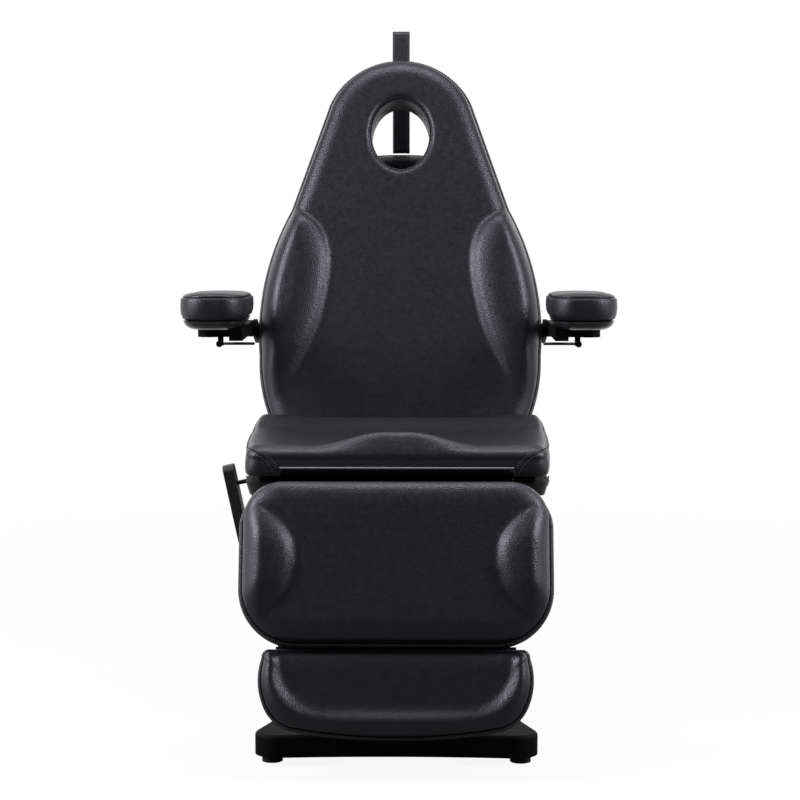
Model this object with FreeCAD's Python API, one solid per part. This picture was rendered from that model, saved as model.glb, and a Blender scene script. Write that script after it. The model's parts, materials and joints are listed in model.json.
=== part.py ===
import FreeCAD, Part
import math
import os

# Electric treatment chair: reclining back with face hole, seat, leg rest and sliding foot panel
# on a three-stage lift column. Millimetres, +Z up, the sitter faces -Y.

# Base
base_width = 600.0
base_waist_width = 400.0
base_rear_width = 500.0
base_front_y = -430.0
base_rear_y = 420.0
base_front_bow = 17.0
base_corner_radius = 42.0
base_plate_thickness = 6.0
base_cover_height = 38.0
base_cover_wall = 3.0
base_cover_edge_radius = 8.0
foot_height = 18.0
foot_diameter = 41.0
foot_waist_diameter = 30.0
foot_flange_height = 8.0
foot_inset = 56.0
stud_diameter = 10.0
stud_bite = 8.0
inlet_width = 48.0
inlet_height = 26.0
inlet_depth = 24.0
inlet_rim = 4.0

# Lift column
column_width = 200.0
column_depth = 150.0
column_wall = 4.0
column_gap = 4.0
column_corner_radius = 24.0
outer_column_top_z = 330.0
middle_column_rise = 36.0
middle_column_top_z = 400.0
inner_column_rise = 71.0
glide_height = 40.0
glide_clearance = 0.3
flange_overhang = 24.0
flange_thickness = 8.0
column_bolt_diameter = 12.0
column_bolt_head = 7.0
bolt_head_share = 1.6
column_hole_clearance = 1.0
lift_screw_diameter = 26.0
nut_tube_wall = 8.0
lift_tube_gap = 1.0
top_tube_wall = 6.0
nut_plate_thickness = 6.0
lift_motor_diameter = 40.0
lift_motor_length = 120.0

# Seat frame
rail_offset = 200.0
rail_width = 40.0
rail_height = 37.0
rail_wall = 3.0
rail_bottom_z = 475.0
rail_front_y = -312.0
rail_rear_y = 165.0
crossmember_offset = 90.0
crossmember_depth = 40.0
head_plate_thickness = 10.0
head_plate_overhang = 4.0
head_plate_depth = 230.0

# Seat cushion and pan
seat_width = 635.0
seat_front_y = -300.0
seat_rear_y = 180.0
seat_corner_radius = 34.0
seat_cushion_thickness = 70.0
seat_crown = 6.0
pommel_width = 300.0
pommel_height = 22.0
pommel_depth = 120.0
seat_roll = 30.0
seat_crown_share = 3.6
pan_height = 28.0
pan_taper = 8.0
pan_inset = 14.0

# Back
back_hinge_y = 294.0
back_hinge_z = 510.0
back_rest_angle = 16.0
back_half_width = 318.5
back_wing_half_width = 250.0
back_head_half_width = 164.0
back_bottom_half_width = 200.0
back_top_s = 929.0
back_head_s = 823.0
back_wing_s = 570.0
back_widest_s = 231.0
back_bottom_s = -50.0
back_face_offset = 90.0
back_cushion_thickness = 75.0
back_crown = 4.0
back_wing_share = 0.973
back_corner_share = 0.5
back_corner_width_share = 0.925
crown_inset_share = 3.2
bolster_sink_share = 0.25
back_edge_roll = 34.0
back_bolster_height = 30.0
back_bolster_low_s = 190.0
back_bolster_high_s = 578.0
hole_centre_s = 742.0
hole_width = 138.0
hole_height = 172.0
board_thickness = 12.0
back_board_low_s = 30.0
back_board_share = 0.9
board_hole_clearance = 6.0
back_arm_offset = 150.0
back_arm_width = 40.0
back_arm_depth = 22.0
back_arm_length = 500.0
back_crossbar_s = 430.0
back_crossbar_height = 30.0

# Hinges of back and leg rest
hinge_pin_diameter = 12.0
hinge_clearance = 0.05
pivot_tube_diameter = 24.0
hinge_plate_thickness = 10.0
hinge_plate_gap = 0.5
hinge_plate_bar = 26.0
hinge_plate_drop = 80.0
hinge_plate_knee = 35.0
hinge_plate_heel = 5.0
hinge_plate_root = 30.0
lever_thickness = 12.0
back_lever_radius = 75.0
back_lever_angle = -53.0
leg_lever_radius = 70.0
leg_lever_angle = -54.0
lever_pin_diameter = 10.0
lever_end_radius = 11.0

# Leg rest
leg_hinge_y = -330.0
leg_hinge_z = 508.0
leg_rest_angle = 18.0
leg_width = 610.0
leg_top_a = -24.0
leg_length = 314.0
leg_corner_radius = 78.0
leg_face_offset = 92.0
leg_cushion_thickness = 75.0
leg_crown = 4.0
leg_edge_roll = 34.0
leg_bolster_height = 26.0
leg_board_inset = 44.0
leg_arm_offset = 150.0
leg_arm_width = 30.0
leg_arm_depth = 25.0
leg_arm_wall = 3.0
leg_arm_length = 265.0

# Foot panel
foot_panel_gap = 6.0
foot_panel_width = 526.0
foot_panel_length = 172.0
foot_panel_thickness = 62.0
foot_panel_corner_radius = 58.0
foot_crown = 2.0
foot_tray_depth = 12.0
foot_tray_rim = 58.0
foot_board_inset = 26.0
tray_roll_share = 0.4
slide_clearance = 0.5
slide_bar_start_a = 60.0

# Seat actuators
actuator_offset = 122.0
actuator_z = 443.0
actuator_diameter = 50.0
actuator_bore = 40.0
actuator_rod_diameter = 18.0
actuator_length = 265.0
back_tube_rear_y = 205.0
leg_tube_front_y = -215.0
rod_inside = 110.0
saddle_width = 60.0
saddle_depth = 26.0
motor_diameter = 44.0
motor_length = 120.0
gearbox_length = 52.0
control_box_width = 170.0
control_box_depth = 56.0
control_box_height = 46.0

# Armrests
arm_pivot_y = 330.0
arm_pivot_z = 806.0
arm_side_gap = 3.5
arm_pad_width = 140.0
arm_front_y = -40.0
arm_rear_y = 250.0
arm_pad_bottom_z = 844.0
arm_pad_thickness = 58.0
arm_pad_crown = 3.0
arm_roll = 18.0
arm_crown_share = 2.2
arm_boss_diameter = 50.0
arm_shell_thickness = 18.0
arm_end_radius = 48.0
arm_shell_inset = 7.0
arm_pin_diameter = 16.0
arm_hub_diameter = 36.0
arm_beam_width = 28.0
arm_beam_depth = 26.0
arm_bracket_thickness = 8.0
arm_bracket_height = 44.0
arm_bracket_inner_x = 200.0
arm_bracket_side_gap = 5.0
arm_hub_gap = 0.5
arm_beam_front_y = 20.0
lever_plate_length = 74.0
lever_plate_width = 30.0
lever_plate_thickness = 4.0
lever_axis_reach = 62.0
lever_axis_y = 70.0
lever_boss_diameter = 14.0
lever_drop = 9.0
lever_axle_diameter = 6.0

# Strap and head pillow
strap_width = 40.0
strap_thickness = 3.0
strap_low_s = 842.0
strap_high_s = 1010.0
strap_bend_radius = 10.0
strap_gap = 0.3
pillow_width = 300.0
pillow_height = 112.0
pillow_thickness = 76.0
pillow_top_z = 1205.0
pillow_corner_radius = 44.0
pillow_roll = 30.0

# Handset, hooks and cable
handset_length = 165.0
handset_width = 48.0
handset_thickness = 22.0
handset_corner_radius = 14.0
handset_tilt = 12.0
handset_top_x = -346.0
handset_top_z = 560.0
handset_y = -170.0
key_count = 3
key_length = 26.0
key_width = 16.0
key_height = 4.0
key_pitch = 38.0
key_top_gap = 34.0
key_clearance = 0.3
key_axle_diameter = 3.0
key_rock_drop = 2.4
handset_rod_diameter = 9.0
handset_rod_drop = 40.0
handset_rod_length = 25.0
hook_wire_diameter = 4.6
hook_x = 307.0
hook_loop_radius = 8.0
hook_seat_gap = 0.3
hook_shank_diameter = 6.0
hook_shank_length = 14.0
socket_diameter = 18.0
socket_height = 14.0
socket_x = -284.0
socket_y = -236.0
cable_diameter = 5.0
cord_arc_share = 0.45
cable_points = [
    (-311.7, -170.0, 398.6), (-303.0, -170.0, 357.6), (-290.0, -172.0, 312.0), (-274.0, -177.0, 266.0),
    (-257.0, -186.0, 222.0), (-241.0, -199.0, 188.0), (-230.0, -219.0, 170.0), (-228.0, -243.0, 179.0),
    (-235.0, -257.0, 209.0), (-246.0, -262.0, 249.0), (-257.0, -263.0, 293.0), (-267.0, -260.0, 338.0),
    (-275.0, -253.0, 383.0), (-281.5, -243.0, 427.0), (-284.0, -236.0, 465.0), (-284.0, -236.0, 498.0),
]

# One overrun serves all cuts
overrun = 2.0
upright_share = 0.001

# Heights and places that follow from the values above
plate_top_z = foot_height + base_plate_thickness
cover_top_z = plate_top_z + base_cover_height
rail_top_z = rail_bottom_z + rail_height
pan_top_z = rail_top_z + pan_height
head_bottom_z = rail_bottom_z - head_plate_thickness
rail_inner_x = rail_offset - rail_width / 2
lug_inner_x = rail_inner_x - hinge_plate_thickness
pivot_tube_half = lug_inner_x - hinge_plate_gap
back_rear_offset = back_face_offset - back_cushion_thickness
back_board_rear = back_rear_offset - board_thickness
leg_rear_offset = leg_face_offset - leg_cushion_thickness
leg_board_rear = leg_rear_offset - board_thickness
foot_top_a = leg_top_a + leg_length + foot_panel_gap
shell_bottom_z = arm_pad_bottom_z - arm_shell_thickness
arm_inner_x = back_half_width + arm_side_gap
arm_outer_x = arm_inner_x + arm_pad_width
lever_axis_x = arm_inner_x + lever_axis_reach
seat_mid_y = (seat_front_y + seat_rear_y) / 2
seat_depth = seat_rear_y - seat_front_y
back_middle_s = (back_top_s + back_bottom_s) / 2

V = FreeCAD.Vector
origin = V(0, 0, 0)
axis_x = V(1, 0, 0)
axis_y = V(0, 1, 0)
axis_z = V(0, 0, 1)
nodes = {}


# Shape helpers
def block(x0, x1, y0, y1, z0, z1):
    return Part.makeBox(x1 - x0, y1 - y0, z1 - z0, V(x0, y0, z0))


def bar(start, end, diameter):
    return Part.makeCylinder(diameter / 2, (end - start).Length, start, end - start)


def fuse(first, *rest):
    return first.multiFuse(list(rest)).removeSplitter()


def mirrored(shape):
    return shape.mirror(origin, axis_x)


def both_sides(shape):
    return Part.Compound([shape, mirrored(shape)])


def rounded_rect(width, depth, radius, height, x=0, y=0):
    hw = width / 2
    hd = depth / 2
    diag = radius * (1 - math.sqrt(0.5))
    corners = [(1, 1), (-1, 1), (-1, -1), (1, -1)]
    edges = []
    ends = []
    for sx, sy in corners:
        along_side = V(x + sx * hw, y + sy * (hd - radius), height)
        along_end = V(x + sx * (hw - radius), y + sy * hd, height)
        middle = V(x + sx * (hw - diag), y + sy * (hd - diag), height)
        first, last = (along_side, along_end) if sx * sy > 0 else (along_end, along_side)
        ends.append((first, last))
        edges.append(Part.Arc(first, middle, last).toShape())
    wire_edges = []
    for index, arc in enumerate(edges):
        wire_edges.append(arc)
        wire_edges.append(Part.LineSegment(ends[index][1], ends[(index + 1) % len(ends)][0]).toShape())
    return Part.Wire(wire_edges)


def drawn_in_rect(width, depth, radius, inset, height, x=0, y=0):
    # Rounded rectangle drawn in on all sides, its corners shrinking with it
    corner = radius * (1 - 2 * inset / min(width, depth))
    return rounded_rect(width - 2 * inset, depth - 2 * inset, corner, height, x, y)


def rounded_prism(width, depth, radius, z0, z1, x=0, y=0):
    return Part.Face(rounded_rect(width, depth, radius, z0, x, y)).extrude(V(0, 0, z1 - z0))


def rounded_tube(width, depth, radius, wall, z0, z1):
    outer = rounded_prism(width, depth, radius, z0, z1)
    inner = rounded_prism(width - 2 * wall, depth - 2 * wall, radius - wall, z0 - overrun, z1 + overrun)
    return outer.cut(inner)


def box_tube(x0, x1, y0, y1, z0, z1, wall, along):
    outer = block(x0, x1, y0, y1, z0, z1)
    gx, gy, gz = [-overrun if axis == along else wall for axis in "xyz"]
    return outer.cut(block(x0 + gx, x1 - gx, y0 + gy, y1 - gy, z0 + gz, z1 - gz))


def upright_edges(shape):
    upright = []
    for edge in shape.Edges:
        run = edge.Vertexes[0].Point - edge.Vertexes[-1].Point
        if abs(run.z) > 0 and abs(run.x) + abs(run.y) < abs(run.z) * upright_share:
            upright.append(edge)
    return upright


def link_plate(y0, z0, y1, z1, width, x0, x1):
    # Flat bar with round ends between two points of the YZ plane
    start = V(x0, y0, z0)
    end = V(x0, y1, z1)
    run = end - start
    side = V(0, -run.z, run.y).normalize() * (width / 2)
    tip = run.normalize() * (width / 2)
    edges = [
        Part.LineSegment(start + side, end + side).toShape(),
        Part.Arc(end + side, end + tip, end - side).toShape(),
        Part.LineSegment(end - side, start - side).toShape(),
        Part.Arc(start - side, start - tip, start + side).toShape(),
    ]
    return Part.Face(Part.Wire(edges)).extrude(V(x1 - x0, 0, 0))


def on_back(shape):
    shape.rotate(origin, axis_x, -back_rest_angle)
    shape.translate(V(0, back_hinge_y, back_hinge_z))
    return shape


def on_leg(shape):
    shape.rotate(origin, axis_x, -leg_rest_angle)
    shape.translate(V(0, leg_hinge_y, leg_hinge_z))
    return shape


def to_front(shape):
    # Turns a form drawn flat, with its height along +Z, so that its face looks along -Y
    shape.rotate(origin, axis_x, 90)
    return shape


# Each pair: how far the side is drawn in, as a share of the edge roll, and its height in the cushion
cushion_form_shares = [
    (0.5, 0.0), (0.12, 0.18), (0.0, 0.42), (0.06, 0.62), (0.22, 0.8), (0.5, 0.92), (1.0, 1.0),
]


def padded_form(outline, steps):
    # Cushion: the outline is drawn in by each step's inset at that step's height
    return Part.makeLoft([outline(inset, height) for inset, height in steps], True, True)


def form_steps(shares, roll, low, thickness):
    return [(roll * inset, low + thickness * height) for inset, height in shares]


def ridge(sections, base_height):
    # Raised roll: arcs on chords, each section given by its place along Y, its two sides and its rise
    wires = []
    for y, x0, x1, rise in sections:
        left = V(x0, y, base_height)
        right = V(x1, y, base_height)
        crest = V((x0 + x1) / 2, y, base_height + rise)
        chord = Part.LineSegment(right, left).toShape()
        wires.append(Part.Wire([chord, Part.Arc(left, crest, right).toShape()]))
    return Part.makeLoft(wires, True, False)


# Base
def base_outline(inset, height):
    front_x = base_width / 2 - inset
    waist_x = base_waist_width / 2 - inset
    rear_x = base_rear_width / 2 - inset
    front = base_front_y + inset
    rear = base_rear_y - inset
    middle = (base_front_y + base_rear_y) / 2
    right_front = V(front_x, front, height)
    left_front = V(-front_x, front, height)
    right_rear = V(rear_x, rear, height)
    left_rear = V(-rear_x, rear, height)
    return Part.Wire([
        Part.Arc(left_front, V(0, front + base_front_bow, height), right_front).toShape(),
        Part.Arc(right_front, V(waist_x, middle, height), right_rear).toShape(),
        Part.LineSegment(right_rear, left_rear).toShape(),
        Part.Arc(left_rear, V(-waist_x, middle, height), left_front).toShape(),
    ])


def base_slab(inset, z0, z1):
    slab = Part.Face(base_outline(inset, z0)).extrude(V(0, 0, z1 - z0))
    return slab.makeFillet(base_corner_radius - inset, upright_edges(slab))


foot_places = []
for place_x in (-1, 1):
    foot_places.append((place_x * (base_width / 2 - foot_inset), base_front_y + foot_inset))
    foot_places.append((place_x * (base_rear_width / 2 - foot_inset), base_rear_y - foot_inset))
bolt_places = []
for place_x in (-1, 1):
    for place_y in (-1, 1):
        bolt_x = place_x * (column_width + flange_overhang) / 2
        bolt_y = place_y * (column_depth + flange_overhang) / 2
        bolt_places.append((bolt_x, bolt_y))

base_plate = base_slab(0, foot_height, plate_top_z)
studs = []
feet = []
for x, y in foot_places:
    stud = bar(V(x, y, foot_height - stud_bite), V(x, y, plate_top_z), stud_diameter)
    stud_way = stud_diameter + 2 * hinge_clearance
    stud_hole = bar(V(x, y, foot_height - stud_bite), V(x, y, plate_top_z + overrun), stud_way)
    base_plate = base_plate.cut(stud_hole)
    sole = bar(V(x, y, 0), V(x, y, foot_flange_height), foot_diameter)
    neck = Part.makeCone(
        foot_diameter / 2, foot_waist_diameter / 2, foot_height - foot_flange_height,
        V(x, y, foot_flange_height))
    feet.append(fuse(sole, neck).cut(stud_hole))
    studs.append(stud)
bolts = []
for x, y in bolt_places:
    shank_hole = bar(V(x, y, 0), V(x, y, cover_top_z), column_bolt_diameter + 2 * hinge_clearance)
    base_plate = base_plate.cut(shank_hole)
    head_base = V(x, y, plate_top_z + flange_thickness)
    shank = bar(V(x, y, foot_height), head_base, column_bolt_diameter)
    head = bar(head_base, head_base + V(0, 0, column_bolt_head), column_bolt_diameter * bolt_head_share)
    bolts.append(fuse(shank, head))
nodes["base_plate"] = base_plate
nodes["levelling_feet"] = Part.Compound(feet)
nodes["foot_studs"] = Part.Compound(studs)
nodes["column_bolts"] = Part.Compound(bolts)

cover = base_slab(0, plate_top_z, cover_top_z)
top_face = max(cover.Faces, key=lambda face: face.CenterOfMass.z)
cover = cover.makeFillet(base_cover_edge_radius, top_face.Edges)
cover = cover.cut(base_slab(base_cover_wall, plate_top_z - overrun, cover_top_z - base_cover_wall))
cover = cover.cut(rounded_prism(
    column_width + 2 * column_hole_clearance, column_depth + 2 * column_hole_clearance,
    column_corner_radius, plate_top_z, cover_top_z + overrun))
inlet_low_z = plate_top_z + (base_cover_height - inlet_height) / 2
inlet = block(
    -inlet_width / 2, inlet_width / 2, base_rear_y - inlet_depth, base_rear_y,
    inlet_low_z, inlet_low_z + inlet_height)
cover = cover.cut(inlet)
inlet = inlet.cut(block(
    inlet_rim - inlet_width / 2, inlet_width / 2 - inlet_rim, base_rear_y - inlet_depth + inlet_rim,
    base_rear_y + overrun, inlet_low_z + inlet_rim, inlet_low_z + inlet_height - inlet_rim))
nodes["base_cover"] = cover
nodes["power_inlet"] = inlet


# Lift column
def stage_size(stage):
    shrink = 2 * stage * (column_wall + column_gap)
    return column_width - shrink, column_depth - shrink, column_corner_radius - shrink / 2


outer_width, outer_depth, outer_radius = stage_size(0)
middle_width, middle_depth, middle_radius = stage_size(1)
inner_width, inner_depth, inner_radius = stage_size(2)
middle_low_z = plate_top_z + middle_column_rise
inner_low_z = plate_top_z + inner_column_rise
nut_tube_bore = lift_screw_diameter + 2 * lift_tube_gap
nut_tube_diameter = nut_tube_bore + 2 * nut_tube_wall
top_tube_bore = nut_tube_diameter + 2 * lift_tube_gap
top_tube_diameter = top_tube_bore + 2 * top_tube_wall

flange = rounded_prism(
    column_width + 2 * flange_overhang, column_depth + 2 * flange_overhang, column_corner_radius,
    plate_top_z, plate_top_z + flange_thickness)
flange = flange.cut(rounded_prism(
    outer_width - 2 * column_wall, outer_depth - 2 * column_wall, outer_radius - column_wall,
    plate_top_z - overrun, cover_top_z))
for x, y in bolt_places:
    flange = flange.cut(bar(V(x, y, 0), V(x, y, cover_top_z), column_bolt_diameter + 2 * hinge_clearance))
outer_tube = rounded_tube(
    outer_width, outer_depth, outer_radius, column_wall, plate_top_z, outer_column_top_z)
nodes["column_outer"] = fuse(flange, outer_tube)
nodes["column_middle"] = rounded_tube(
    middle_width, middle_depth, middle_radius, column_wall, middle_low_z, middle_column_top_z)


def glide_ring(width, depth, radius, top_z):
    # Plastic ring in the gap between two column stages, held by the outer one
    low = top_z - glide_height
    inner_edge = column_gap - glide_clearance
    outer = rounded_prism(width, depth, radius, low, top_z)
    hole = rounded_prism(
        width - 2 * inner_edge, depth - 2 * inner_edge, radius - inner_edge, low - overrun, top_z + overrun)
    return outer.cut(hole)


nodes["outer_glides"] = glide_ring(
    outer_width - 2 * column_wall, outer_depth - 2 * column_wall, outer_radius - column_wall,
    outer_column_top_z)
nodes["middle_glides"] = glide_ring(
    middle_width - 2 * column_wall, middle_depth - 2 * column_wall, middle_radius - column_wall,
    middle_column_top_z)

nodes["lift_screw"] = bar(V(0, 0, plate_top_z), V(0, 0, outer_column_top_z), lift_screw_diameter)
nut_plate = rounded_prism(
    middle_width - 2 * column_wall, middle_depth - 2 * column_wall, middle_radius - column_wall,
    middle_low_z, middle_low_z + nut_plate_thickness)
nut_tube = bar(V(0, 0, middle_low_z), V(0, 0, middle_column_top_z), nut_tube_diameter)
screw_way = bar(V(0, 0, middle_low_z - overrun), V(0, 0, middle_column_top_z + overrun), nut_tube_bore)
nodes["lift_nut_tube"] = fuse(nut_plate, nut_tube).cut(screw_way)

head_plate = block(
    -inner_width / 2 - head_plate_overhang, inner_width / 2 + head_plate_overhang,
    -head_plate_depth / 2, head_plate_depth / 2, head_bottom_z, rail_bottom_z)
inner_tube = rounded_tube(inner_width, inner_depth, inner_radius, column_wall, inner_low_z, head_bottom_z)
nodes["lift_head_plate"] = head_plate
nodes["column_inner"] = inner_tube
top_tube_low_z = inner_low_z + nut_plate_thickness
top_tube = bar(V(0, 0, top_tube_low_z), V(0, 0, head_bottom_z), top_tube_diameter)
nodes["lift_top_tube"] = top_tube.cut(
    bar(V(0, 0, top_tube_low_z - overrun), V(0, 0, head_bottom_z + overrun), top_tube_bore))
lift_motor_x = (top_tube_diameter / 2 + inner_width / 2 - column_wall) / 2
nodes["lift_motor"] = bar(
    V(lift_motor_x, 0, head_bottom_z - lift_motor_length), V(lift_motor_x, 0, head_bottom_z),
    lift_motor_diameter)


# Seat frame, pan and cushion
rail = box_tube(
    rail_inner_x, rail_inner_x + rail_width, rail_front_y, rail_rear_y, rail_bottom_z, rail_top_z,
    rail_wall, "y")
nodes["seat_rails"] = both_sides(rail)
crossmembers = []
for place_y in (-1, 1):
    middle_y = place_y * crossmember_offset
    crossmembers.append(box_tube(
        -rail_inner_x, rail_inner_x, middle_y - crossmember_depth / 2, middle_y + crossmember_depth / 2,
        rail_bottom_z, rail_top_z, rail_wall, "x"))
nodes["seat_crossmembers"] = Part.Compound(crossmembers)


def seat_outline(inset, height):
    return drawn_in_rect(seat_width, seat_depth, seat_corner_radius, inset, height, 0, seat_mid_y)


pan = Part.makeLoft([
    seat_outline(pan_inset + pan_taper, rail_top_z), seat_outline(pan_inset, pan_top_z)], True, True)
nodes["seat_pan"] = pan
seat_top_z = pan_top_z + seat_cushion_thickness
seat_steps = form_steps(cushion_form_shares, seat_roll, pan_top_z, seat_cushion_thickness)
seat_steps.append((seat_roll * seat_crown_share, seat_top_z + seat_crown))
seat_cushion = padded_form(seat_outline, seat_steps)
pommel_shares = [(0.0, 0.62, 0.2), (0.22, 0.92, 0.9), (0.5, 1.0, 1.0), (0.78, 0.8, 0.66), (1.0, 0.5, 0.2)]
pommel_front_y = seat_front_y + seat_roll
pommel_sections = []
for along, wide, high in pommel_shares:
    half = pommel_width * wide / 2
    pommel_sections.append((pommel_front_y + pommel_depth * along, -half, half, pommel_height * high))
nodes["seat_cushion"] = fuse(seat_cushion, ridge(pommel_sections, seat_top_z))

# Hinge plates and shafts between the seat frame and the swinging parts
rail_mid_z = (rail_bottom_z + rail_top_z) / 2
pin_bore = hinge_pin_diameter + 2 * hinge_clearance
knee_z = back_hinge_z - hinge_plate_drop
heel_y = back_hinge_y - hinge_plate_heel
back_plate = fuse(
    link_plate(rail_rear_y - hinge_plate_root, rail_mid_z, rail_rear_y + hinge_plate_knee, knee_z,
               hinge_plate_bar, lug_inner_x, rail_inner_x),
    link_plate(
        rail_rear_y + hinge_plate_knee, knee_z, heel_y, knee_z, hinge_plate_bar, lug_inner_x, rail_inner_x),
    link_plate(heel_y, knee_z, back_hinge_y, back_hinge_z, hinge_plate_bar, lug_inner_x, rail_inner_x))
leg_plate = link_plate(
    rail_front_y + hinge_plate_root, rail_mid_z, leg_hinge_y, leg_hinge_z,
    hinge_plate_bar, lug_inner_x, rail_inner_x)
hinge_plates = []
hinge_shafts = []
for plate, y, z in ((back_plate, back_hinge_y, back_hinge_z), (leg_plate, leg_hinge_y, leg_hinge_z)):
    plate = plate.cut(bar(V(0, y, z), V(rail_inner_x + overrun, y, z), pin_bore))
    hinge_plates += [plate, mirrored(plate)]
    hinge_shafts.append(bar(V(-rail_inner_x, y, z), V(rail_inner_x, y, z), hinge_pin_diameter))
nodes["hinge_plates"] = Part.Compound(hinge_plates)
nodes["hinge_shafts"] = Part.Compound(hinge_shafts)


def pivot_tube(y, z, x, lever_radius, lever_angle):
    # Sleeve on the hinge shaft with a welded lever and its pin, beside the rod eye at x
    end_y = y + lever_radius * math.cos(math.radians(lever_angle))
    end_z = z + lever_radius * math.sin(math.radians(lever_angle))
    side = math.copysign(1, x)
    eye_inner_x = x - side * actuator_rod_diameter / 2
    lever_near_x = eye_inner_x - side * hinge_plate_gap
    lever_far_x = lever_near_x - side * lever_thickness
    sleeve = bar(V(-pivot_tube_half, y, z), V(pivot_tube_half, y, z), pivot_tube_diameter)
    lever = link_plate(y, z, end_y, end_z, 2 * lever_end_radius, lever_far_x, lever_near_x)
    eye_outer_x = x + side * actuator_rod_diameter / 2
    pin = bar(V(lever_far_x, end_y, end_z), V(eye_outer_x, end_y, end_z), lever_pin_diameter)
    bore = bar(V(-rail_inner_x, y, z), V(rail_inner_x, y, z), pin_bore)
    return fuse(sleeve, lever, pin).cut(bore), end_y, end_z


def actuator_rod(x, end_y, end_z, inner_y):
    half = actuator_rod_diameter / 2
    eye = bar(V(x - half, end_y, end_z), V(x + half, end_y, end_z), 2 * lever_end_radius)
    rod = bar(V(x, end_y, end_z), V(x, inner_y, end_z), actuator_rod_diameter)
    hole = bar(
        V(x - half - overrun, end_y, end_z), V(x + half + overrun, end_y, end_z),
        lever_pin_diameter + 2 * hinge_clearance)
    return fuse(eye, rod).cut(hole)


back_pivot, back_lever_y, back_lever_z = pivot_tube(
    back_hinge_y, back_hinge_z, actuator_offset, back_lever_radius, back_lever_angle)
leg_pivot, leg_lever_y, leg_lever_z = pivot_tube(
    leg_hinge_y, leg_hinge_z, -actuator_offset, leg_lever_radius, leg_lever_angle)
nodes["back_pivot_tube"] = back_pivot
nodes["leg_pivot_tube"] = leg_pivot
nodes["back_rod"] = actuator_rod(actuator_offset, back_lever_y, back_lever_z, back_tube_rear_y - rod_inside)
nodes["leg_rod"] = actuator_rod(-actuator_offset, leg_lever_y, leg_lever_z, leg_tube_front_y + rod_inside)


# Actuators under the seat: tube, gearbox with motor, saddles on the crossmembers
def actuator(x, mouth_y, direction):
    closed_y = mouth_y + direction * actuator_length
    tube = bar(V(x, mouth_y, actuator_z), V(x, closed_y, actuator_z), actuator_diameter)
    bore_start = V(x, mouth_y - direction * overrun, actuator_z)
    bore_end = V(x, closed_y - direction * rail_wall, actuator_z)
    tube = tube.cut(bar(bore_start, bore_end, actuator_bore))
    side = math.copysign(1, x)
    motor_x = x + side * (actuator_diameter + motor_diameter) / 2 + side * hinge_plate_gap
    case_x = sorted((x - side * actuator_diameter / 2, motor_x + side * motor_diameter / 2))
    case_y = sorted((closed_y, closed_y + direction * gearbox_length))
    case = block(
        case_x[0], case_x[1], case_y[0], case_y[1],
        actuator_z - actuator_diameter / 2, actuator_z + actuator_diameter / 2)
    motor_end_y = closed_y - direction * motor_length
    motor = bar(V(motor_x, closed_y, actuator_z), V(motor_x, motor_end_y, actuator_z), motor_diameter)
    return tube, fuse(case, motor)


back_tube, back_motor = actuator(actuator_offset, back_tube_rear_y, -1)
leg_tube, leg_motor = actuator(-actuator_offset, leg_tube_front_y, 1)
nodes["actuator_tubes"] = Part.Compound([back_tube, leg_tube])
nodes["actuator_motors"] = Part.Compound([back_motor, leg_motor])
saddles = []
for x, y in ((actuator_offset, crossmember_offset), (-actuator_offset, -crossmember_offset)):
    saddle = block(
        x - saddle_width / 2, x + saddle_width / 2, y - saddle_depth / 2, y + saddle_depth / 2,
        actuator_z, rail_bottom_z)
    saddle_way = actuator_diameter + 2 * hinge_clearance
    saddles.append(saddle.cut(bar(
        V(x, y - saddle_depth, actuator_z), V(x, y + saddle_depth, actuator_z), saddle_way)))
nodes["actuator_saddles"] = Part.Compound(saddles)
control_front_y = crossmember_offset + crossmember_depth / 2 - saddle_depth
control_box = block(
    -control_box_width / 2, control_box_width / 2, control_front_y + crossmember_depth,
    control_front_y + crossmember_depth + control_box_depth, rail_top_z - control_box_height, rail_top_z)
nodes["control_box"] = control_box


# Back cushion, board and frame, drawn flat with s along Y and the thickness along Z
def back_outline(inset, height):
    across = 1 - inset / back_half_width
    along = 1 - inset / (back_top_s - back_middle_s)

    def point(x, s):
        return V(x * across, back_middle_s + (s - back_middle_s) * along, height)

    wing_mid_s = (back_wing_s + back_widest_s) / 2
    corner_s = back_bottom_s + (back_widest_s - back_bottom_s) * back_corner_share
    def side_points(side):
        head = point(side * back_head_half_width, back_head_s)
        notch = point(side * back_wing_half_width, back_wing_s)
        wing = point(side * back_half_width * back_wing_share, wing_mid_s)
        widest = point(side * back_half_width, back_widest_s)
        corner = point(side * back_half_width * back_corner_width_share, corner_s)
        low = point(side * back_bottom_half_width, back_bottom_s)
        return head, notch, wing, widest, corner, low

    head, notch, wing, widest, corner, low = side_points(1)
    left_head, left_notch, left_wing, left_widest, left_corner, left_low = side_points(-1)
    edges = [
        Part.Arc(left_head, point(0, back_top_s), head),
        Part.LineSegment(head, notch),
        Part.Arc(notch, wing, widest),
        Part.Arc(widest, corner, low),
        Part.LineSegment(low, left_low),
        Part.Arc(left_low, left_corner, left_widest),
        Part.Arc(left_widest, left_wing, left_notch),
        Part.LineSegment(left_notch, left_head),
    ]
    return Part.Wire([edge.toShape() for edge in edges])


def face_hole(width, height, low, high):
    ellipse = Part.Ellipse(V(0, hole_centre_s, low), height / 2, width / 2).toShape()
    ellipse.rotate(V(0, hole_centre_s, low), axis_z, 90)
    return Part.Face(Part.Wire([ellipse])).extrude(V(0, 0, high - low))


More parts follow.
